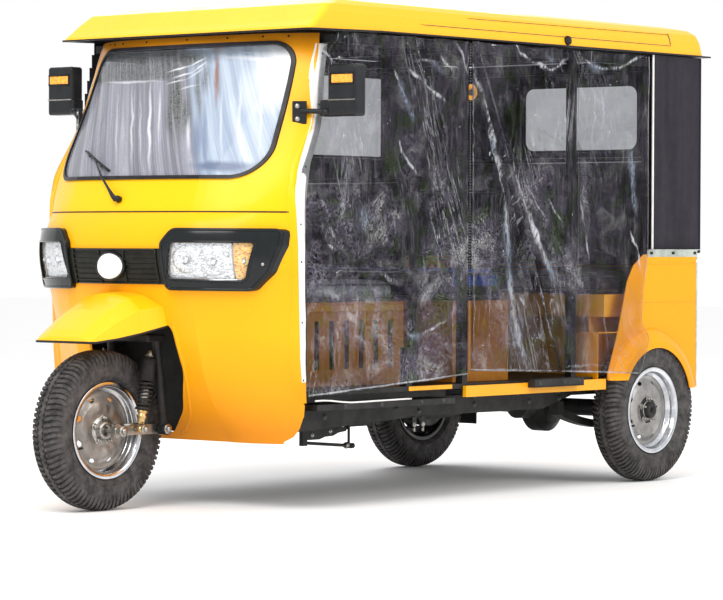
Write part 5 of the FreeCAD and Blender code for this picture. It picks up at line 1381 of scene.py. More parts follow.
# ------------------------------------------------------------------ mudguard lip
GUARD = [(-0.172, 0.130, 0.590), (-0.150, 0.138, 0.590), (-0.060, 0.153, 0.600), (0.040, 0.168, 0.617),
         (0.140, 0.190, 0.640), (0.205, 0.202, 0.655)]
b = Build()
side_pts = {}
for sx in (-1, 1):
    side_pts[sx] = [S(sx * (w - 0.001), st, z + 0.001) for st, w, z in GUARD]
nose_run = [S(0.130 - 0.260 * k / 10, -0.1715 - 0.0012 * math.sin(math.pi * k / 10), 0.591) for k in range(1, 10)]
loop = list(reversed(side_pts[1])) + nose_run + side_pts[-1]
b.tube(loop, 0.0042, 8, 0)
b.done("mudguard_lip", ["seal"], slot="black_rubber")

# ------------------------------------------------------------------ mirrors
for sx, dx, dz, tag in ((1, 0.016, -0.012, "left"), (-1, -0.015, 0.022, "right")):
    b = Build()
    # amber repeater on the front of the housing
    lo = S(sx * (0.648 + dx), 0.4700, 1.503 + dz)
    hi = S(sx * (0.744 + dx), 0.4735, 1.532 + dz)
    lo, hi = Vector((min(lo.x, hi.x), lo.y, lo.z)), Vector((max(lo.x, hi.x), hi.y, hi.z))
    b.slab(lo, hi, 0.0016, 1)
    # rim round the repeater, ledge and ribs of the lower lobe
    x0, x1 = sorted((sx * (0.643 + dx), sx * (0.749 + dx)))
    z0, z1 = 1.498 + dz, 1.537 + dz
    y = 0.4712 + A
    b.tube([(x0, y, z0), (x1, y, z0), (x1, y, z1), (x0, y, z1)], 0.0022, 6, 0, closed=True)
    x0, x1 = sorted((sx * (0.630 + dx), sx * (0.7545 + dx)))
    b.slab((x0, 0.4700 + A, 1.442 + dz), (x1, 0.4740 + A, 1.4465 + dz), 0.0012, 2)
    for k in range(4):
        z = 1.398 + 0.0105 * k + dz
        b.slab((x0 + 0.006, 0.4718 + A, z), (x1 - 0.006, 0.4752 + A, z + 0.0045), 0.0012, 0)
    # bracket bolts
    for zz in (1.3675, 1.4125):
        p, n = hit("mirrors", (sx * 0.541, -3.0, zz), (0, 1, 0))
        if p is not None:
            if n.y > 0:
                n = -n
            b.bolt(p, n, 0.0055, 0.004, 3)
    # ball joint where the arm meets the housing
    c = S(sx * (0.621 + dx), 0.476, 1.402 + dz)
    b.turned([(-0.014, 0.0), (-0.014, 0.008), (-0.010, 0.0125), (0.0, 0.015), (0.010, 0.0125), (0.014, 0.008), (0.014, 0.0)], c,
             (sx, 0.9, 0.1), 20, 0, closed=False)
    b.done("mirror_details_" + tag, ["black_plastic", "amber", "zinc", "zinc"], slot="dark_trim")

# ------------------------------------------------------------------ wiper
b = Build()


def frame_point(x, z, off):
    p = None
    for name in ("windscreen_seal", "windscreen_glass", "windscreen_frame", "front_cowl"):
        q, n = hit(name, (x, -3.0, z), (0, 1, 0))
        if q is not None and (p is None or q.y < p.y):
            p = q
    return p + Vector((0, -off, 0)) if p is not None else None


p = frame_point(-0.026, 1.086, 0.004)
b.turned([(0.0, 0.0), (0.0, 0.013), (0.012, 0.0115), (0.020, 0.008), (0.022, 0.0)], p, (0, -0.9, 0.35), 20, 0, closed=False)
arm = [frame_point(-0.026, 1.086, 0.022), frame_point(-0.045, 1.101, 0.026), frame_point(-0.075, 1.124, 0.024),
       frame_point(-0.140, 1.173, 0.026), frame_point(-0.212, 1.226, 0.018)]
b.tube(arm, [0.0095, 0.0085, 0.0055, 0.0040, 0.0036], 8, 0, flat=0.55, up=(0, -1, 0.3))
blade = [frame_point(-0.302 + 0.18 * k / 8, 1.263 - 0.072 * k / 8, 0.0125) for k in range(9)]
b.tube(blade, 0.0042, 6, 0, flat=1.4, up=(0, -1, 0.3))
blade = [frame_point(-0.302 + 0.18 * k / 8, 1.263 - 0.072 * k / 8, 0.0050) for k in range(9)]
b.tube(blade, 0.0024, 6, 1)
for k in (2, 6):
    q = frame_point(-0.302 + 0.18 * k / 8, 1.263 - 0.072 * k / 8, 0.0170)
    b.dome(q, (0, -1, 0.3), 0.006, 0.004, 10, 0)
b.done("wiper_arm_blade", ["black_plastic", "rubber"], takes=("wiper",), slot="black_steel")


# ------------------------------------------------------------------ sheets
def fade(t):
    t = max(0.0, min(1.0, t))
    return t * t * (3 - 2 * t)


def grid_piece(name, nu, nv, fn, mat, keep=None, body="body"):
    """One-layer sheet from a grid function fn(u, v); keep(u, v) leaves cells out."""
    pts = [[fn(i / (nu - 1), j / (nv - 1)) for i in range(nu)] for j in range(nv)]
    verts = [p for row in pts for p in row]
    faces = []
    for j in range(nv - 1):
        for i in range(nu - 1):
            if keep is not None and not keep((i + 0.5) / (nu - 1), (j + 0.5) / (nv - 1)):
                continue
            a = j * nu + i
            faces.append([a, a + 1, a + nu + 1, a + nu])
    me = bpy.data.meshes.new(name)
    me.from_pydata([tuple(p) for p in verts], [], faces)
    for p in me.polygons:
        p.use_smooth = True
    bm = bmesh.new()
    bm.from_mesh(me)
    loose = [v for v in bm.verts if not v.link_faces]
    bmesh.ops.delete(bm, geom=loose, context="VERTS")
    bm.to_mesh(me)
    bm.free()
    me.materials.append(M[mat])
    o = bpy.data.objects.new(name, me)
    bpy.context.scene.collection.objects.link(o)
    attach(o, body)

    def span(row):
        return sum((Vector(b) - Vector(a)).length for a, b in zip(row, row[1:]))

    w = max(span(pts[j]) for j in range(0, nv, max(1, nv // 12)))
    h = max(span([pts[j][i] for j in range(nv)]) for i in range(0, nu, max(1, nu // 12)))
    area = sum(p.area for p in me.polygons)
    return o, w, h, area


def hang(w, h):
    w, h = round(w, 3), round(h, 3)


# front curtain: front edge follows the windscreen pillar and bends inward
C1_EDGE = [(0.400, 0.420), (0.408, 0.420), (0.450, 0.389), (0.560, 0.379), (0.740, 0.372), (0.930, 0.366), (1.035, 0.358),
           (1.100, 0.364), (1.190, 0.388), (1.250, 0.424), (1.320, 0.463), (1.390, 0.490), (1.490, 0.513), (1.600, 0.548),
           (1.668, 0.568), (1.682, 0.574)]
C1_LOW = [(0.420, 0.400), (0.996, 0.432), (1.316, 0.452)]
C1_X0 = [(1.182, 0.6040), (1.400, 0.5765), (1.550, 0.5515), (1.620, 0.5450), (1.650, 0.5950), (1.685, 0.5965)]
C1_Y0 = [(1.182, 0.360), (1.400, 0.470), (1.550, 0.512), (1.685, 0.555)]
C1_Y1 = [(1.182, 0.500), (1.400, 0.620), (1.550, 0.660), (1.685, 0.706)]


def c1_base(y, z):
    """x of the front curtain's middle surface before its folds."""
    if z < 1.182:
        return 0.6042
    x0, y0, y1 = lerp_table(C1_X0, z), lerp_table(C1_Y0, z), lerp_table(C1_Y1, z)
    t = (y - y0) / (y1 - y0)
    if t >= 1.25:
        return 0.6045
    if t > 0.75:
        s = (t - 0.75) / 0.5
        return x0 + (0.6045 - x0) * (0.75 + 0.25 * fade(s))
    return x0 + (0.6045 - x0) * max(t, 0.0)


def fold_noise(y, z, seed):
    a = noise.noise(Vector((y * 7.0, z * 1.1, seed)))
    b = noise.noise(Vector((y * 19.0 + z * 1.7, z * 3.0, seed + 4.2)))
    c = noise.noise(Vector((y * 41.0, z * 9.0, seed + 9.1)))
    r = 1.0 - abs(noise.noise(Vector((y * 13.0 - z * 2.0, z * 2.2, seed + 2.7)))) * 2.2
    return a, b, c, max(0.0, r)


def c1(u, v):
    zt = 1.680
    y_low = 0.420 + (1.316 - 0.420) * u
    zb = lerp_table(C1_LOW, y_low)
    z = zb + (zt - zb) * v
    y0 = lerp_table(C1_EDGE, z)
    y = y0 + (1.316 - y0) * u
    a, b, c, r = fold_noise(y, z, 1.3)
    free = fade(u / 0.10) * fade((1 - u) / 0.03)
    top = fade((v - 0.80) / 0.20)
    x = c1_base(y, z)
    amp = 0.0075 * a + 0.0030 * b + 0.0012 * c + 0.0028 * (r - 0.5)
    # swags along the top and soft pulls from its ends
    swag = 0.010 * top * math.sin(y * 31.0 + 5.0 * (1 - v)) * (0.6 + 0.4 * a)
    pull = 0.006 * math.sin((y * 0.9 - z) * 20.0) * fade((z - 0.9) / 0.5)
    out = free * (amp + swag + pull * 0.5) + 0.004 * free
    out = max(out, -0.0085)
    bottom = 0.0035 * math.sin(y * 24 + 1.0) * fade((0.10 - v) / 0.10) * free
    return S(x + out + bottom, y, z - 0.004 * top * (0.5 + 0.5 * math.sin(y * 31.0)))


FRONT_N = ((150, 210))
cur1, w, h, area = grid_piece("curtain_sheet_front", FRONT_N[0], FRONT_N[1], c1, "pvc_front")
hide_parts("curtain_front_left")


def strip_on(fn, path, wide, name, mat, lift=0.0012):
    """Flat band on a sheet: path of (u, v) points, wide as (du, dv) half widths."""
    b = Build()
    vs = []
    for (u, v) in path:
        for s in (-1, 1):
            uu, vv = min(max(u + s * wide[0], 0), 1), min(max(v + s * wide[1], 0), 1)
            p = fn(uu, vv)
            vs.append(Vector(p) + Vector((lift, 0, 0)))
    n = len(path)
    b.add(vs, [[2 * i, 2 * i + 1, 2 * i + 3, 2 * i + 2] for i in range(n - 1)])
    return b.done(name, mat, slot="clear_pvc")


hems = [strip_on(c1, [(k / 60, 0.0045) for k in range(61)], (0, 0.0022), "front_hem_low", "pvc_hem"),
        strip_on(c1, [(0.994, k / 60) for k in range(61)], (0.004, 0), "front_hem_rear", "pvc_front")]
hang(w, h)

# rear curtain: gathered diagonally, its rear edge lies over the body
C2_LOW = [(1.322, 0.466), (1.50, 0.460), (2.005, 0.440), (2.327, 0.426)]
C2_REAR = [(0.424, 2.322), (0.50, 2.360), (0.59, 2.392), (0.76, 2.406), (0.84, 2.430), (0.90, 2.440), (1.668, 2.438)]
DG = ((1.365, 1.610), (1.858, 0.433))
DGL = math.hypot(DG[1][0] - DG[0][0], DG[1][1] - DG[0][1])
DGN = ((DG[1][1] - DG[0][1]) / -DGL, (DG[1][0] - DG[0][0]) / DGL)


def c2(u, v):
    zt = 1.680
    y_low = 1.322 + (2.322 - 1.322) * u
    zb = lerp_table(C2_LOW, y_low)
    z = zb + (zt - zb) * v
    yr = lerp_table(C2_REAR, z)
    y = 1.322 + (yr - 1.322) * u
    a, b, c, r = fold_noise(y, z, 6.1)
    top = fade((v - 0.84) / 0.16)
    free = fade(u / 0.03)
    d = (y - DG[0][0]) * DGN[0] + (z - DG[0][1]) * DGN[1]
    near = math.exp(-(d / 0.055) ** 2)
    far = math.exp(-((d - 0.02) / 0.15) ** 2)
    pleat = near * 0.012 * math.sin(d * 170.0) + far * 0.0050 * math.sin(d * 78.0 + 1.1)
    amp = 0.0065 * a + 0.0030 * b + 0.0013 * c + 0.0030 * (r - 0.5)
    swag = 0.013 * top * math.sin(y * 26.0 + 4.0 * (1 - v) + 1.3 * a)
    out = free * (amp + pleat + swag) + 0.004 * free
    x = 0.6125
    # over the body's front edge it stands clear of the panel and the flare
    over_body = fade((y - (2.12 + 0.26 * fade((z - 0.42) / 0.45))) / 0.10)
    x = x + 0.0065 * over_body
    rr = math.hypot(y - 2.461, z - 0.298)
    if rr < 0.345:
        x = max(x, 0.620 + 0.046 * fade((0.345 - rr) / 0.075))
    low = -0.0085 if over_body < 0.3 else -0.0015
    out = max(out * (1 - 0.5 * over_body), low)
    return S(x + out, y, z - 0.006 * top * (0.5 + 0.5 * math.sin(y * 26.0 + 0.8)))


REAR_N = ((190, 210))
cur2, w, h, area = grid_piece("curtain_sheet_rear", REAR_N[0], REAR_N[1], c2, "pvc_rear")
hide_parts("curtain_rear_left")
hems = [strip_on(c2, [(k / 60, 0.0045) for k in range(61)], (0, 0.0022), "rear_hem_low", "pvc_hem"),
        strip_on(c2, [(0.006, k / 60) for k in range(61)], (0.004, 0), "rear_hem_front", "pvc_rear"),
        strip_on(c2, [(0.9965, k / 60) for k in range(61)], (0.0022, 0), "rear_hem_end", "pvc_hem")]
hang(w, h)

# ------------------------------------------------------------------ fabric panels
for sx, tag in ((1, "left"), (-1, "right")):
    def quarter(u, v, sx=sx):
        y = 2.486 + (2.822 - 2.486) * u
        z = 0.900 + (1.6855 - 0.900) * v
        n1 = noise.noise(Vector((y * 12, z * 1.3, 3.0 * sx)))
        n2 = noise.noise(Vector((y * 31, z * 3.0, 8.0 * sx)))
        hold = fade(u / 0.08) * fade((1 - u) / 0.08) * fade(v / 0.04) * fade((1 - v) / 0.04)
        return S(sx * (0.6025 + hold * (0.0030 * n1 + 0.0011 * n2 + 0.0006 * math.sin(u * 40))), y, z)
    o, w, h, area = grid_piece("quarter_cloth_" + tag, 40, 60, quarter, "fabric")
    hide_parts("quarter_panels")
    b = Build()
    b.tube([S(sx * 0.6062, 2.4865, 0.902 + 0.782 * k / 30) for k in range(31)], 0.0048, 8, 0)
    b.tube([S(sx * 0.6045, 2.820, 0.902 + 0.782 * k / 12) for k in range(13)], 0.0032, 8, 1)
    p = b.done("quarter_piping_" + tag, ["white_trim", "fabric"], slot="black_fabric")
    hang(w, h)

WIN_B = (-0.292, 0.292, 1.320, 1.590)


def in_win(x, z, win, r=0.045):
    x0, x1, z0, z1 = win
    if not (x0 < x < x1 and z0 < z < z1):
        return False
    dx = max(x0 + r - x, x - (x1 - r), 0)
    dz = max(z0 + r - z, z - (z1 - r), 0)
    return dx * dx + dz * dz < r * r


def back(u, v):
    x = -0.594 + 1.188 * u
    z = 0.900 + 0.7855 * v
    n1 = noise.noise(Vector((x * 8, z * 1.5, 5.0)))
    hold = fade(u / 0.05) * fade((1 - u) / 0.05) * fade(v / 0.05) * fade((1 - v) / 0.05)
    return S(x, 2.8280 + hold * 0.0025 * n1, z)


o, w, h, area = grid_piece("back_cloth", 120, 80, back, "side_cloth",
                           keep=lambda u, v: not in_win(-0.594 + 1.188 * u, 0.900 + 0.7855 * v, WIN_B))
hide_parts("back_panel")


def win_frame(loop, r, name, mat="seal", flat=1.0):
    b = Build()
    b.tube(loop, r, 8, 0, closed=True)
    return b.done(name, mat, slot="black_fabric")


loop = [S(p[0], 2.8290, p[1]) for p in arc_loop([(-0.292, 1.320), (0.292, 1.320), (0.292, 1.590), (-0.292, 1.590)], 0.045)]
f1 = win_frame(loop, 0.0055, "back_window_binding")
hang(w, h)


def back_win(u, v):
    x = -0.300 + 0.600 * u
    z = 1.312 + 0.286 * v
    n1 = noise.noise(Vector((x * 11, z * 2.0, 15.0)))
    return S(x, 2.8245 + 0.0016 * n1, z)


o, w, h, area = grid_piece("back_window_sheet", 50, 30, back_win, "pvc_window")
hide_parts("clear_windows")
hang(w, h)

# right side: cloth panel with its long clear window
SIDE_POLY = [(0.470, 0.428), (2.108, 0.428), (2.108, 0.600), (2.262, 0.600), (2.306, 0.760), (2.400, 0.890), (2.506, 0.905),
             (2.506, 1.685), (0.820, 1.682), (0.581, 1.679), (0.470, 1.200)]
WIN_S = (0.632, 2.262, 1.288, 1.620)
SY0, SY1, SZ0, SZ1 = 0.470, 2.506, 0.428, 1.685


def side_panel(u, v):
    y = SY0 + (SY1 - SY0) * u
    z = SZ0 + (SZ1 - SZ0) * v
    n1 = noise.noise(Vector((y * 7, z * 1.2, 21.0)))
    n2 = noise.noise(Vector((y * 23, z * 3.0, 11.0)))
    return S(-(0.6025 + 0.0030 * n1 + 0.0010 * n2), y, z)


def side_keep(u, v):
    y = SY0 + (SY1 - SY0) * u
    z = SZ0 + (SZ1 - SZ0) * v
    return inside_poly((y, z), SIDE_POLY) and not in_win(y, z, WIN_S, 0.014)


o, w, h, area = grid_piece("right_side_cloth", 170, 104, side_panel, "side_cloth", keep=side_keep)
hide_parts("side_panel_right")
loop = [S(-0.6035, p[0], p[1]) for p in arc_loop([(0.632, 1.288), (2.262, 1.288), (2.262, 1.620), (0.632, 1.620)], 0.014)]
f1 = win_frame(loop, 0.0055, "side_window_binding")
b = Build()
edge = [S(-0.6030, y, z) for y, z in [(0.470, 1.19), (0.470, 0.80), (0.470, 0.430), (1.2, 0.430), (2.106, 0.430),
                                      (2.108, 0.600), (2.262, 0.602), (2.306, 0.760), (2.400, 0.889), (2.504, 0.905)]]
b.tube(edge, 0.0045, 8, 0)
f2 = b.done("side_panel_binding", ["seal"], slot="black_fabric")
hang(w, h)


def side_win(u, v):
    y = 0.622 + (2.271 - 0.622) * u
    z = 1.280 + 0.348 * v
    n1 = noise.noise(Vector((y * 9, z * 1.4, 31.0)))
    n2 = noise.noise(Vector((y * 25, z * 2.2, 37.0)))
    return S(-(0.6015 + 0.0040 * n1 + 0.0018 * n2), y, z)


o, w, h, area = grid_piece("side_window_sheet", 150, 40, side_win, "pvc_window")
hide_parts("clear_windows")
hang(w, h)


# ------------------------------------------------------------------ cushions
def swell(name, lo, hi, mat, cap, seams=(), shrink=0.010, crown=0.0, flat_axis=2, flat_low=True):
    """Cushion: a remeshed block blown up as cloth, its travel capped, then smoothed."""
    lo, hi = Vector(lo), Vector(hi)
    size = hi - lo
    me = bpy.data.meshes.new(name)
    o = bpy.data.objects.new(name, me)
    bpy.context.scene.collection.objects.link(o)
    bm = bmesh.new()
    bmesh.ops.create_cube(bm, size=1.0)
    for v in bm.verts:
        v.co = Vector(((lo.x + hi.x) / 2 + v.co.x * (size.x - 2 * shrink),
                       (lo.y + hi.y) / 2 + v.co.y * (size.y - 2 * shrink),
                       (lo.z + hi.z) / 2 + v.co.z * (size.z - 2 * shrink)))
    bmesh.ops.bevel(bm, geom=list(bm.edges), offset=min(size) * 0.24, segments=4, profile=0.6, affect="EDGES")
    bm.to_mesh(me)
    bm.free()
    view = bpy.context.view_layer
    view.objects.active = o
    r = o.modifiers.new("remesh", "REMESH")
    r.mode = "VOXEL"
    r.voxel_size = 0.0125
    r.use_smooth_shade = True
    dg = bpy.context.evaluated_depsgraph_get()
    new = bpy.data.meshes.new_from_object(o.evaluated_get(dg))
    o.modifiers.clear()
    o.data = new
    start = [v.co.copy() for v in new.vertices]
    c = o.modifiers.new("cloth", "CLOTH")
    s = c.settings
    s.quality = 4
    s.mass = 0.3
    s.tension_stiffness = s.compression_stiffness = 12
    s.shear_stiffness = 6
    s.bending_stiffness = 1.2
    s.use_pressure = True
    s.uniform_pressure_force = 4.0
    s.effector_weights.gravity = 0.0
    c.collision_settings.use_collision = False
    c.collision_settings.use_self_collision = False
    sc = bpy.context.scene
    c.point_cache.frame_start, c.point_cache.frame_end = 1, 16
    for f in range(1, 15):
        sc.frame_set(f)
    dg = bpy.context.evaluated_depsgraph_get()
    got = [v.co.copy() for v in o.evaluated_get(dg).data.vertices]
    o.modifiers.clear()
    sc.frame_set(1)
    for v, p0, p1 in zip(o.data.vertices, start, got):
        d = p1 - p0
        if d.length > cap:
            d = d * (cap / d.length)
        q = p0 + d
        for k in range(3):
            q[k] = min(max(q[k], lo[k] + 0.0006), hi[k] - 0.0004 + (0.006 if k == 2 else 0.0))
        v.co = q
    # sewn channels pressed into the soft form
    for v in o.data.vertices:
        for axis, pos, depth, wide, face in seams:
            t = (v.co[axis] - pos) / wide
            if abs(t) < 3:
                k, s = face
                if (v.co[k] - (lo[k] + hi[k]) / 2) * s > 0:
                    v.co[k] -= s * depth * math.exp(-t * t)
    sub = o.modifiers.new("soft", "SUBSURF")
    sub.levels = sub.render_levels = 1
    o.data.materials.clear()
    o.data.materials.append(M[mat])
    for p in o.data.polygons:
        p.use_smooth = True
    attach(o, "body")
    return o


def pipe_loop(lo, hi, z, inset, r, name, mat, axis=2):
    """Piping round a cushion at one height (axis 2) or one station (axis 1)."""
    b = Build()
    if axis == 2:
        pts = arc_loop([(lo[0] + inset, lo[1] + inset), (hi[0] - inset, lo[1] + inset), (hi[0] - inset, hi[1] - inset),
                        (lo[0] + inset, hi[1] - inset)], 0.028)
        path = [Vector((p[0], p[1], z)) for p in pts]
    else:
        pts = arc_loop([(lo[0] + inset, lo[2] + inset), (hi[0] - inset, lo[2] + inset), (hi[0] - inset, hi[2] - inset),
                        (lo[0] + inset, hi[2] - inset)], 0.032)
        path = [Vector((p[0], z, p[1])) for p in pts]
    dense = []
    for a, c in zip(path, path[1:] + path[:1]):
        n = max(1, int((c - a).length / 0.03))
        dense += [a + (c - a) * k / n for k in range(n)]
    b.tube(dense, r, 6, 0, closed=True)
    return b.done(name, mat, slot="seat_cloth")


PADS = [
    # name, half width, y0, y1, z0, z1, material, piping material, cap, channels across, channels along
    ("driver_cushion", 0.392, 0.632, 1.180, 0.7226, 0.800, "seat_cloth", "vinyl_black", 0.012, 2, 1),
    ("middle_cushion", 0.490, 1.358, 1.706, 0.7226, 0.838, "vinyl_blue", "vinyl_black", 0.014, 3, 0),
    ("rear_cushion", 0.548, 2.216, 2.640, 0.7386, 0.826, "vinyl_black", "vinyl_black", 0.013, 3, 0),
]
for name, hw, y0, y1, z0, z1, mat, pm, cap, nx, ny in PADS:
    seams = [(0, -hw + 2 * hw * (k + 1) / (nx + 1), 0.0045, 0.010, (2, 1)) for k in range(nx)]
    seams += [(1, y0 + (y1 - y0) * (k + 1) / (ny + 1) + A, 0.0040, 0.010, (2, 1)) for k in range(ny)]
    lo, hi = S(-hw, y0, z0), S(hw, y1, z1)
    o = swell(name, lo, hi, mat, cap, seams)
    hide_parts("seat_cushions")
    pipe_loop(lo, hi, z1 - 0.016, 0.0062, 0.0042, name + "_piping", pm)
    pipe_loop(lo, hi, z0 + 0.014, 0.0072, 0.0038, name + "_lower_piping", pm)
BACKS = [
    ("driver_back", 0.392, 1.196, 1.256, 0.830, 1.180, "vinyl_black", "vinyl_black", 0.009, 4),
    ("middle_back", 0.490, 1.712, 1.760, 0.870, 1.150, "vinyl_black", "vinyl_black", 0.008, 5),
    ("rear_back", 0.545, 2.660, 2.740, 0.832, 1.290, "vinyl_black", "vinyl_black", 0.011, 5),
]
for name, hw, y0, y1, z0, z1, mat, pm, cap, nx in BACKS:
    seams = [(0, -hw + 2 * hw * (k + 1) / (nx + 1), 0.0050, 0.009, (1, -1)) for k in range(nx)]
    lo, hi = S(-hw, y0, z0), S(hw, y1, z1)
    o = swell(name, lo, hi, mat, cap, seams, shrink=0.008)
    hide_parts("seat_backs")
    pipe_loop(lo, hi, lo.y + 0.013, 0.0062, 0.0036, name + "_piping", pm, axis=1)


# ------------------------------------------------------------------ trims of the rear body
def ribbon(b, path, prof, mi=0, closed=False):
    """Sweeps a profile of (outward, height) points along a plan path of (x, station)."""
    n = len(path)
    vs = []
    for i, (x, st) in enumerate(path):
        a, c = path[max(i - 1, 0)], path[min(i + 1, n - 1)]
        tx, ty = c[0] - a[0], c[1] - a[1]
        ln = math.hypot(tx, ty)
        nx, ny = ty / ln, -tx / ln
        for o, z in prof:
            vs.append(S(x + nx * o, st + ny * o, z))
    k = len(prof)
    fs = [[i * k + j, i * k + (j + 1) % k, (i + 1) * k + (j + 1) % k, (i + 1) * k + j] for i in range(n - 1) for j in range(k)]
    fs += [list(range(k))[::-1], [(n - 1) * k + j for j in range(k)]]
    b.add(vs, fs, mi, False)
    return b


def around(x, rear, r, start):
    """Plan path from the right side's front, round the rear, to the left side's front."""
    out = [(x, start + (rear - r - start) * k / 6) for k in range(7)]
    out += [(x - r + r * math.cos(a), rear - r + r * math.sin(a)) for a in [math.pi / 2 * k / 7 for k in range(1, 8)]]
    mirror = [(-p[0], p[1]) for p in reversed(out)]
    return out + mirror


b = Build()
path = around(0.6147, 2.8257, 0.0505, 2.440)
path = [(x, st) for x, st in path]
# walk so that outward is away from the body
ribbon(b, path, [(0.0, 0.885), (-0.0028, 0.886), (-0.0028, 0.915), (0.0098, 0.915), (0.0098, 0.912), (0.0, 0.912)])
b.done("deck_strip", ["silver_strip"], slot="bare_steel")
b = Build()
for sx in (-1, 1):
    for st in (2.47, 2.62, 2.772):
        b.turned([(0.0, 0.0), (0.0, 0.0062), (0.0010, 0.0062), (0.0016, 0.0046)], S(sx * 0.6174, st, 0.9005), (sx, 0, 0), 20, 0,
                 closed=False)
        b.dome(S(sx * 0.6178, st, 0.9005), (sx, 0, 0), 0.0048, 0.0028, 14, 0)
for x in (-0.42, -0.14, 0.14, 0.42):
    b.dome(S(x, 2.8282, 0.9005), (0, 1, 0), 0.0052, 0.0028, 14, 0)
b.done("deck_strip_rivets", ["steel_black"], slot="bare_steel")

# upright strips at the rear corners
b = Build()
for sx in (-1, 1):
    pts = []
    for k in range(24):
        p, n = hit("rear_body", (sx * 2.0, 2.786 + A, 0.372 + 0.510 * k / 23), (-sx, 0, 0))
        if p is not None and abs(p.x) > 0.55:
            pts.append(p + Vector((sx * 0.0010, 0, 0)))
    if len(pts) > 2:
        b.tube(pts, 0.0034, 8, 0)
b.done("corner_strips", ["silver_strip"], slot="bare_steel")

# rolled press lines
b = Build()
for z, st0 in ((0.859, 2.446), (0.707, 2.375)):
    for sx in (-1, 1):
        run = []
        for k in range(30):
            st = st0 + (2.772 - st0) * k / 29
            p, n = hit("rear_body", (sx * 2.0, st + A, z), (-sx, 0, 0))
            if p is not None and abs(p.x) > 0.55:
                run.append(p + Vector((-sx * 0.0012, 0, 0)))
        if len(run) > 2:
            rad = [0.0010] + [0.0036] * (len(run) - 2) + [0.0036]
            b.tube(run, rad, 8, 0)
    run = []
    for k in range(40):
        x = -0.56 + 1.12 * k / 39
        p, n = hit("rear_body", (x, 3.0, z), (0, -1, 0))
        if p is not None:
            run.append(p + Vector((0, -0.0012, 0)))
    if len(run) > 2:
        b.tube(run, 0.0036, 8, 0)
b.done("press_lines", ["yellow_rear"], slot="yellow_paint")

# ------------------------------------------------------------------ roof
b = Build()


def roof_side(sx, st, z, off=0.0):
    p, n = hit("roof_shell", (sx * 2.0, st + A, z), (-sx, 0, 0))
    return None if p is None else p + Vector((sx * off, 0, 0))


for sx in (-1, 1):
    low = [roof_side(sx, 1.02 + 1.585 * k / 50, 1.7275, -0.0006) for k in range(51)]
    up = [roof_side(sx, 1.30 + 1.305 * k / 40, 1.766 + 0.006 * k / 40, -0.0006) for k in range(41)]
    end = [roof_side(sx, 2.605, 1.7275 + 0.0445 * k / 8, -0.0006) for k in range(9)]
    for run in (low, up, end):
        run = [q for q in run if q is not None]
        rad = [0.0012] + [0.0042] * (len(run) - 1)
        b.tube(run, rad if run is not end else 0.0042, 8, 0)
b.done("roof_side_bead", ["roof"], slot="yellow_paint")
b = Build()
for sx in (-1, 1):
    p = roof_side(sx, 1.912, 1.712)
    if p is not None:
        b.turned([(-0.002, 0.0), (-0.002, 0.0175), (0.004, 0.0185), (0.010, 0.0165), (0.013, 0.0110), (0.013, 1e-5)], p,
                 (sx, 0, 0.1), 28, 0, closed=False)
        b.dome(p + Vector((sx * 0.0125, 0, 0.001)), (sx, 0, 0.1), 0.0070, 0.0030, 14, 1)
b.done("roof_knobs", ["rubber", "steel_black"], slot="dark_trim")
# rivets of the header over the windscreen
b = Build()
for x in (-0.44, -0.40, -0.345, -0.21, 0.0, 0.19, 0.345, 0.44):
    p = front("windscreen_frame", x, 1.663, 0.0)
    if p is not None:
        q, n = hit("windscreen_frame", (x, -3.0, 1.663), (0, 1, 0))
        if n.y > 0:
            n = -n
        b.dome(q, n, 0.0044, 0.0026, 14, 0)
for sx in (-1, 1):
    for z in (1.20, 1.36, 1.52):
        p = side_point(sx, lerp_table(EDGE, z) - 0.030, z)
b.done("header_rivets", ["grille_black"], slot="dark_trim")

# ------------------------------------------------------------------ nose opening, lower edge
b = Build()
for sx in (-1, 1):
    run = []
    for x, z in ((0.092, 0.2585), (0.122, 0.276), (0.157, 0.3085), (0.179, 0.345), (0.198, 0.395), (0.212, 0.450), (0.2185, 0.510),
                 (0.2165, 0.560), (0.2125, 0.610), (0.209, 0.650)):
        q = front("front_cowl", sx * (x + 0.004), z, -0.0020)
        if q is not None:
            run.append(q)
    dense = []
    for p0, p1 in zip(run, run[1:]):
        dense += [p0 + (p1 - p0) * k / 4 for k in range(4)]
    dense.append(run[-1])
    b.tube(dense, 0.0062, 10, 0)
b.done("opening_roll", ["yellow_nose"], slot="yellow_paint")

# ------------------------------------------------------------------ floor edge
b = Build()
for sx in (-1, 1):
    x0, x1 = sorted((sx * 0.5895, sx * 0.5925))
    b.slab((x0, 0.990 + A, 0.4030), (x1, 1.240 + A, 0.4190), 0.0008, 0)
    run = [S(sx * 0.6075, y, z) for y, z in ((0.458, 0.386), (0.50, 0.3865), (0.545, 0.384), (0.60, 0.378), (0.65, 0.3745),
                                             (0.72, 0.3745), (0.80, 0.3752), (0.88, 0.3758), (0.95, 0.3762), (0.985, 0.376))]
    b.tube(run, 0.0030, 8, 1)
    # bolts along the board, the rail and the sill
    for st, z in ((1.045, 0.362), (1.172, 0.362), (0.620, 0.362), (0.820, 0.362)):
        b.bolt(S(sx * 0.6062, st, z), (sx, 0, 0), 0.0058, 0.0045, 2)
    for st, z in ((0.66, 0.318), (1.06, 0.332), (1.19, 0.320), (1.19, 0.345), (1.52, 0.332), (1.86, 0.332), (2.05, 0.336)):
        p, n = hit("chassis_rails", (sx * 2.0, st + A, z), (-sx, 0, 0))
        if p is not None and abs(p.x) > 0.42:
            b.bolt(p, (sx, 0, 0), 0.0072, 0.006, 3)
    for st in (1.36, 1.62, 1.88, 2.12):
        b.bolt(S(sx * 0.602, st, 0.3715), (0, 0, -1), 0.0050, 0.006, 3)
b.done("floor_edge_trim", ["yellow_sill", "white_trim", "cast", "cast"], slot="bare_steel")

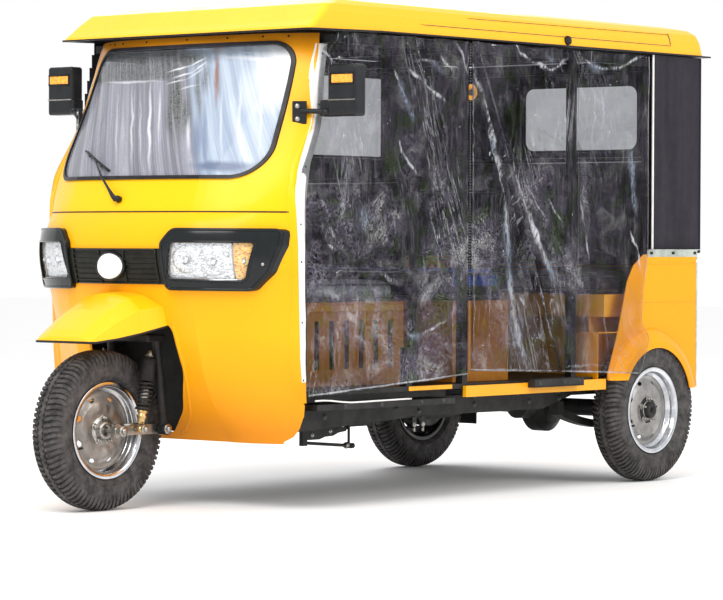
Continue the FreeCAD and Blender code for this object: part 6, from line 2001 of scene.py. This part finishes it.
# hanging bracket plate round the brake rod, two short brackets on the left rail
b = Build()
for x0, x1 in ((0.2925, 0.2965),):
    loop = [(0.760, 0.300), (1.000, 0.300), (1.004, 0.262), (0.985, 0.246), (0.945, 0.242), (0.915, 0.232), (0.870, 0.230),
            (0.838, 0.222), (0.760, 0.222)]
    n = len(loop)
    vs = [S(x0, y, z) for y, z in loop] + [S(x1, y, z) for y, z in loop]
    fs = [list(range(n))[::-1], [n + i for i in range(n)]] + [[i, (i + 1) % n, n + (i + 1) % n, n + i] for i in range(n)]
    b.add(vs, fs, 0, False)
for y, z in ((0.80, 0.24), (0.90, 0.25), (0.97, 0.27)):
    b.bolt(S(0.2965, y, z), (1, 0, 0), 0.0062, 0.005, 1)
b.turned([(-0.010, 0.0), (-0.010, 0.010), (0.010, 0.010), (0.010, 0.0)], S(0.300, 1.012, 0.192), (0, 1, 0), 20, 0, closed=False)
b.turned([(-0.007, 0.0), (-0.007, 0.012), (0.007, 0.012), (0.007, 0.0)], S(0.300, 0.985, 0.1945), (0, 1, 0), 6, 1, closed=False)
for st in (1.16, 1.21):
    b.slab((0.476, st - 0.012 + A, 0.262), (0.480, st + 0.012 + A, 0.300), 0.001, 0)
    b.bolt(S(0.480, st, 0.270), (1, 0, 0), 0.0065, 0.005, 1)
    b.tube([S(0.478, st, 0.262), S(0.478, st, 0.244)], 0.0042, 8, 1)
b.done("rod_bracket", ["steel_black", "zinc"], slot="black_steel")

# ------------------------------------------------------------------ side steps
b = Build()
for sx in (-1, 1):
    for k in range(5):
        x = sx * (0.6165 + 0.0058 * k)
        x0, x1 = sorted((x - 0.0014, x + 0.0014))
        b.slab((x0, 1.684 + A, 0.4236), (x1, 1.974 + A, 0.4262), 0.0008, 0)
    for st in (1.705, 1.860, 1.955):
        b.bolt(S(sx * 0.6438, st, 0.410), (sx, 0, 0), 0.0056, 0.0035, 1)
    x0, x1 = sorted((sx * 0.6432, sx * 0.6456))
    b.slab((x0, 1.680 + A, 0.3950), (x1, 1.978 + A, 0.3990), 0.0008, 0)
b.done("step_treads", ["rubber", "cast"], slot="black_steel")

# ------------------------------------------------------------------ tail lamps, blank plate
b = Build()
for sx in (-1, 1):
    x0, x1 = sorted((sx * 0.4995, sx * 0.5705))
    y = 2.8445 + A
    b.tube([(x0 - 0.001, y, 0.6885), (x1 + 0.001, y, 0.6885), (x1 + 0.001, y, 0.8415), (x0 - 0.001, y, 0.8415)], 0.0040, 8, 0, closed=True)
    for z0, z1, mi in ((0.6930, 0.7380, 3), (0.7405, 0.7880, 1), (0.7905, 0.8370, 2)):
        b.slab((x0 + 0.0035, 2.8455 + A, z0), (x1 - 0.0035, 2.8485 + A, z1), 0.0016, mi)
        for k in range(5):
            zz = z0 + 0.006 + (z1 - z0 - 0.012) * k / 4
            b.slab((x0 + 0.006, 2.8480 + A, zz - 0.0012), (x1 - 0.006, 2.8496 + A, zz + 0.0012), 0.0006, mi)
    b.dome(S(sx * 0.535, 2.8490, 0.7393), (0, 1, 0), 0.0032, 0.0020, 12, 4)
    b.dome(S(sx * 0.535, 2.8490, 0.7893), (0, 1, 0), 0.0032, 0.0020, 12, 4)
b.done("tail_lamp_lenses", ["black_plastic", "red", "amber", "lens", "zinc"], slot="red_lens")
p, n = hit("plate_carrier", (0.05, 3.0, 0.52), (0, -1, 0))
yb = p.y if p is not None else 2.83 + A
b = Build()
b.slab((-0.160, yb + 0.0004, 0.466), (0.160, yb + 0.0022, 0.574), 0.0008, 0)
b.tube([(-0.157, yb + 0.0022, 0.469), (0.157, yb + 0.0022, 0.469), (0.157, yb + 0.0022, 0.571), (-0.157, yb + 0.0022, 0.571)], 0.0012, 6, 0,
       closed=True)
b.done("blank_plate", ["white_trim"], slot="bare_steel")

# ------------------------------------------------------------------ small round lamp on the rear right pillar, inside
b = Build()
b.slab((-0.5885, 2.7727 + A, 1.568), (-0.5000, 2.7747 + A, 1.588), 0.0008, 0)
c = S(-0.528, 2.7724, 1.578)
b.turned([(-0.0006, 0.0), (-0.0006, 0.0350), (0.0085, 0.0350), (0.0100, 0.0335), (0.0100, 0.0)], c, (0, -1, 0), 44,
         0, closed=False)
b.turned([(0.0098, 0.0335), (0.0140, 0.0320), (0.0165, 0.0265), (0.0160, 0.0215), (0.0130, 0.0180), (0.0098, 0.0172)],
         c, (0, -1, 0), 44, 1, closed=False)
b.dome(c + Vector((0, -0.0098, 0)), (0, -1, 0), 0.0170, 0.0040, 30, 2, rings=5)
b.done("round_inside_lamp", ["black_plastic", "lit_amber", "bulb"], slot="red_lens")


# ------------------------------------------------------------------ zip tapes at the door pillars
b = Build()
for st, z0, z1 in ((1.3185, 0.470, 1.672), (1.988, 0.455, 1.672)):
    x = 0.6090 if st < 1.5 else 0.6095
    k = 0
    z = z0
    while z < z1:
        b.slab((x - 0.0012, st - 0.0022 + A, z), (x + 0.0012, st + 0.0022 + A, z + 0.0044), 0.0006, 0)
        z += 0.0105
        k += 1
b.done("curtain_zip_teeth", ["zip_grey"], slot="clear_pvc")

# lamp surround: raised lips along its outer edge and round the lens
SURR = [(0.226, 0.772), (0.512, 0.768), (0.562, 0.832), (0.588, 0.925), (0.590, 0.984), (0.266, 0.986), (0.226, 0.936)]
SURR_R = [0.018, 0.030, 0.060, 0.040, 0.016, 0.036, 0.030]
b = Build()
for sx in (-1, 1):
    for loop, rad, inset, r in ((SURR, SURR_R, 0.0065, 0.0058), (LENS, LENS_R, -0.0055, 0.0042)):
        cx = sum(p[0] for p in loop) / len(loop)
        cz = sum(p[1] for p in loop) / len(loop)
        pts = []
        for q in arc_loop(loop, rad, 7):
            d = Vector((cx - q[0], cz - q[1]))
            d.normalize()
            pts.append((q[0] + d.x * inset, q[1] + d.y * inset))
        dense = []
        for a0, a1 in zip(pts, pts[1:] + pts[:1]):
            ln = math.hypot(a1[0] - a0[0], a1[1] - a0[1])
            m = max(1, int(ln / 0.012))
            dense += [(a0[0] + (a1[0] - a0[0]) * k / m, a0[1] + (a1[1] - a0[1]) * k / m) for k in range(m)]
        run = []
        for x, z in dense:
            q = front("lamp_surrounds", sx * x, z, -0.0012)
            if q is not None:
                run.append(q)
        b.tube(run, r, 8, 0, closed=True)
b.done("surround_lips", ["dark_gloss"], slot="dark_trim")

# top rail of the driver's seat base
lo, hi = [Vector(p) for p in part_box("driver_seat_base")]
b = Build()
for sx in (-1, 1):
    x0, x1 = sorted((sx * (hi.x - 0.001), sx * (hi.x + 0.0045)))
    b.slab((x0, lo.y + 0.006, hi.z - 0.034), (x1, hi.y - 0.006, hi.z - 0.010), 0.0018, 0)
    for k in range(5):
        b.dome(Vector((sx * (hi.x + 0.0045), lo.y + 0.03 + (hi.y - lo.y - 0.06) * k / 4, hi.z - 0.022)), (sx, 0, 0), 0.0042, 0.0022, 12, 1)
b.done("seat_base_rail", ["yellow_sill", "zinc"], slot="yellow_paint")


# ------------------------------------------------------------------ floor, light, end
def studio():
    w = bpy.data.worlds.new("soft")
    w.use_nodes = True
    w.node_tree.nodes["Background"].inputs[0].default_value = (1.0, 1.0, 1.0, 1.0)
    w.node_tree.nodes["Background"].inputs[1].default_value = 1.0
    bpy.context.scene.world = w
    me = bpy.data.meshes.new("floor")
    k = 24
    vs = [(-30 + 60 * i / k, -30 + 60 * j / k, -0.0008) for i in range(k + 1) for j in range(k + 1)]
    fs = [[i * (k + 1) + j, (i + 1) * (k + 1) + j, (i + 1) * (k + 1) + j + 1, i * (k + 1) + j + 1]
          for i in range(k) for j in range(k)]
    me.from_pydata(vs, [], fs)
    o = bpy.data.objects.new("floor", me)
    me.materials.append(stage_mat("pale_floor", (0.97, 0.97, 0.97)))
    bpy.context.scene.collection.objects.link(o)
    for name, loc, aim, size, power, tone in (
            ("key", (2.2, -6.5, 6.2), (0.0, -0.4, 0.9), 4.0, 420, (1.0, 0.985, 0.96)),
            ("side", (7.0, 0.5, 4.2), (0.3, 0.4, 0.9), 4.0, 170, (1.0, 0.99, 0.97)),
            ("back", (-4.5, 4.5, 5.0), (0.0, 0.5, 1.2), 4.0, 160, (0.97, 0.98, 1.0))):
        d = bpy.data.lights.new(name, "AREA")
        d.energy = power
        d.size = size
        d.color = tone
        lamp = bpy.data.objects.new(name, d)
        lamp.location = loc
        lamp.rotation_euler = (Vector(aim) - Vector(loc)).to_track_quat("-Z", "Y").to_euler()
        bpy.context.scene.collection.objects.link(lamp)


studio()
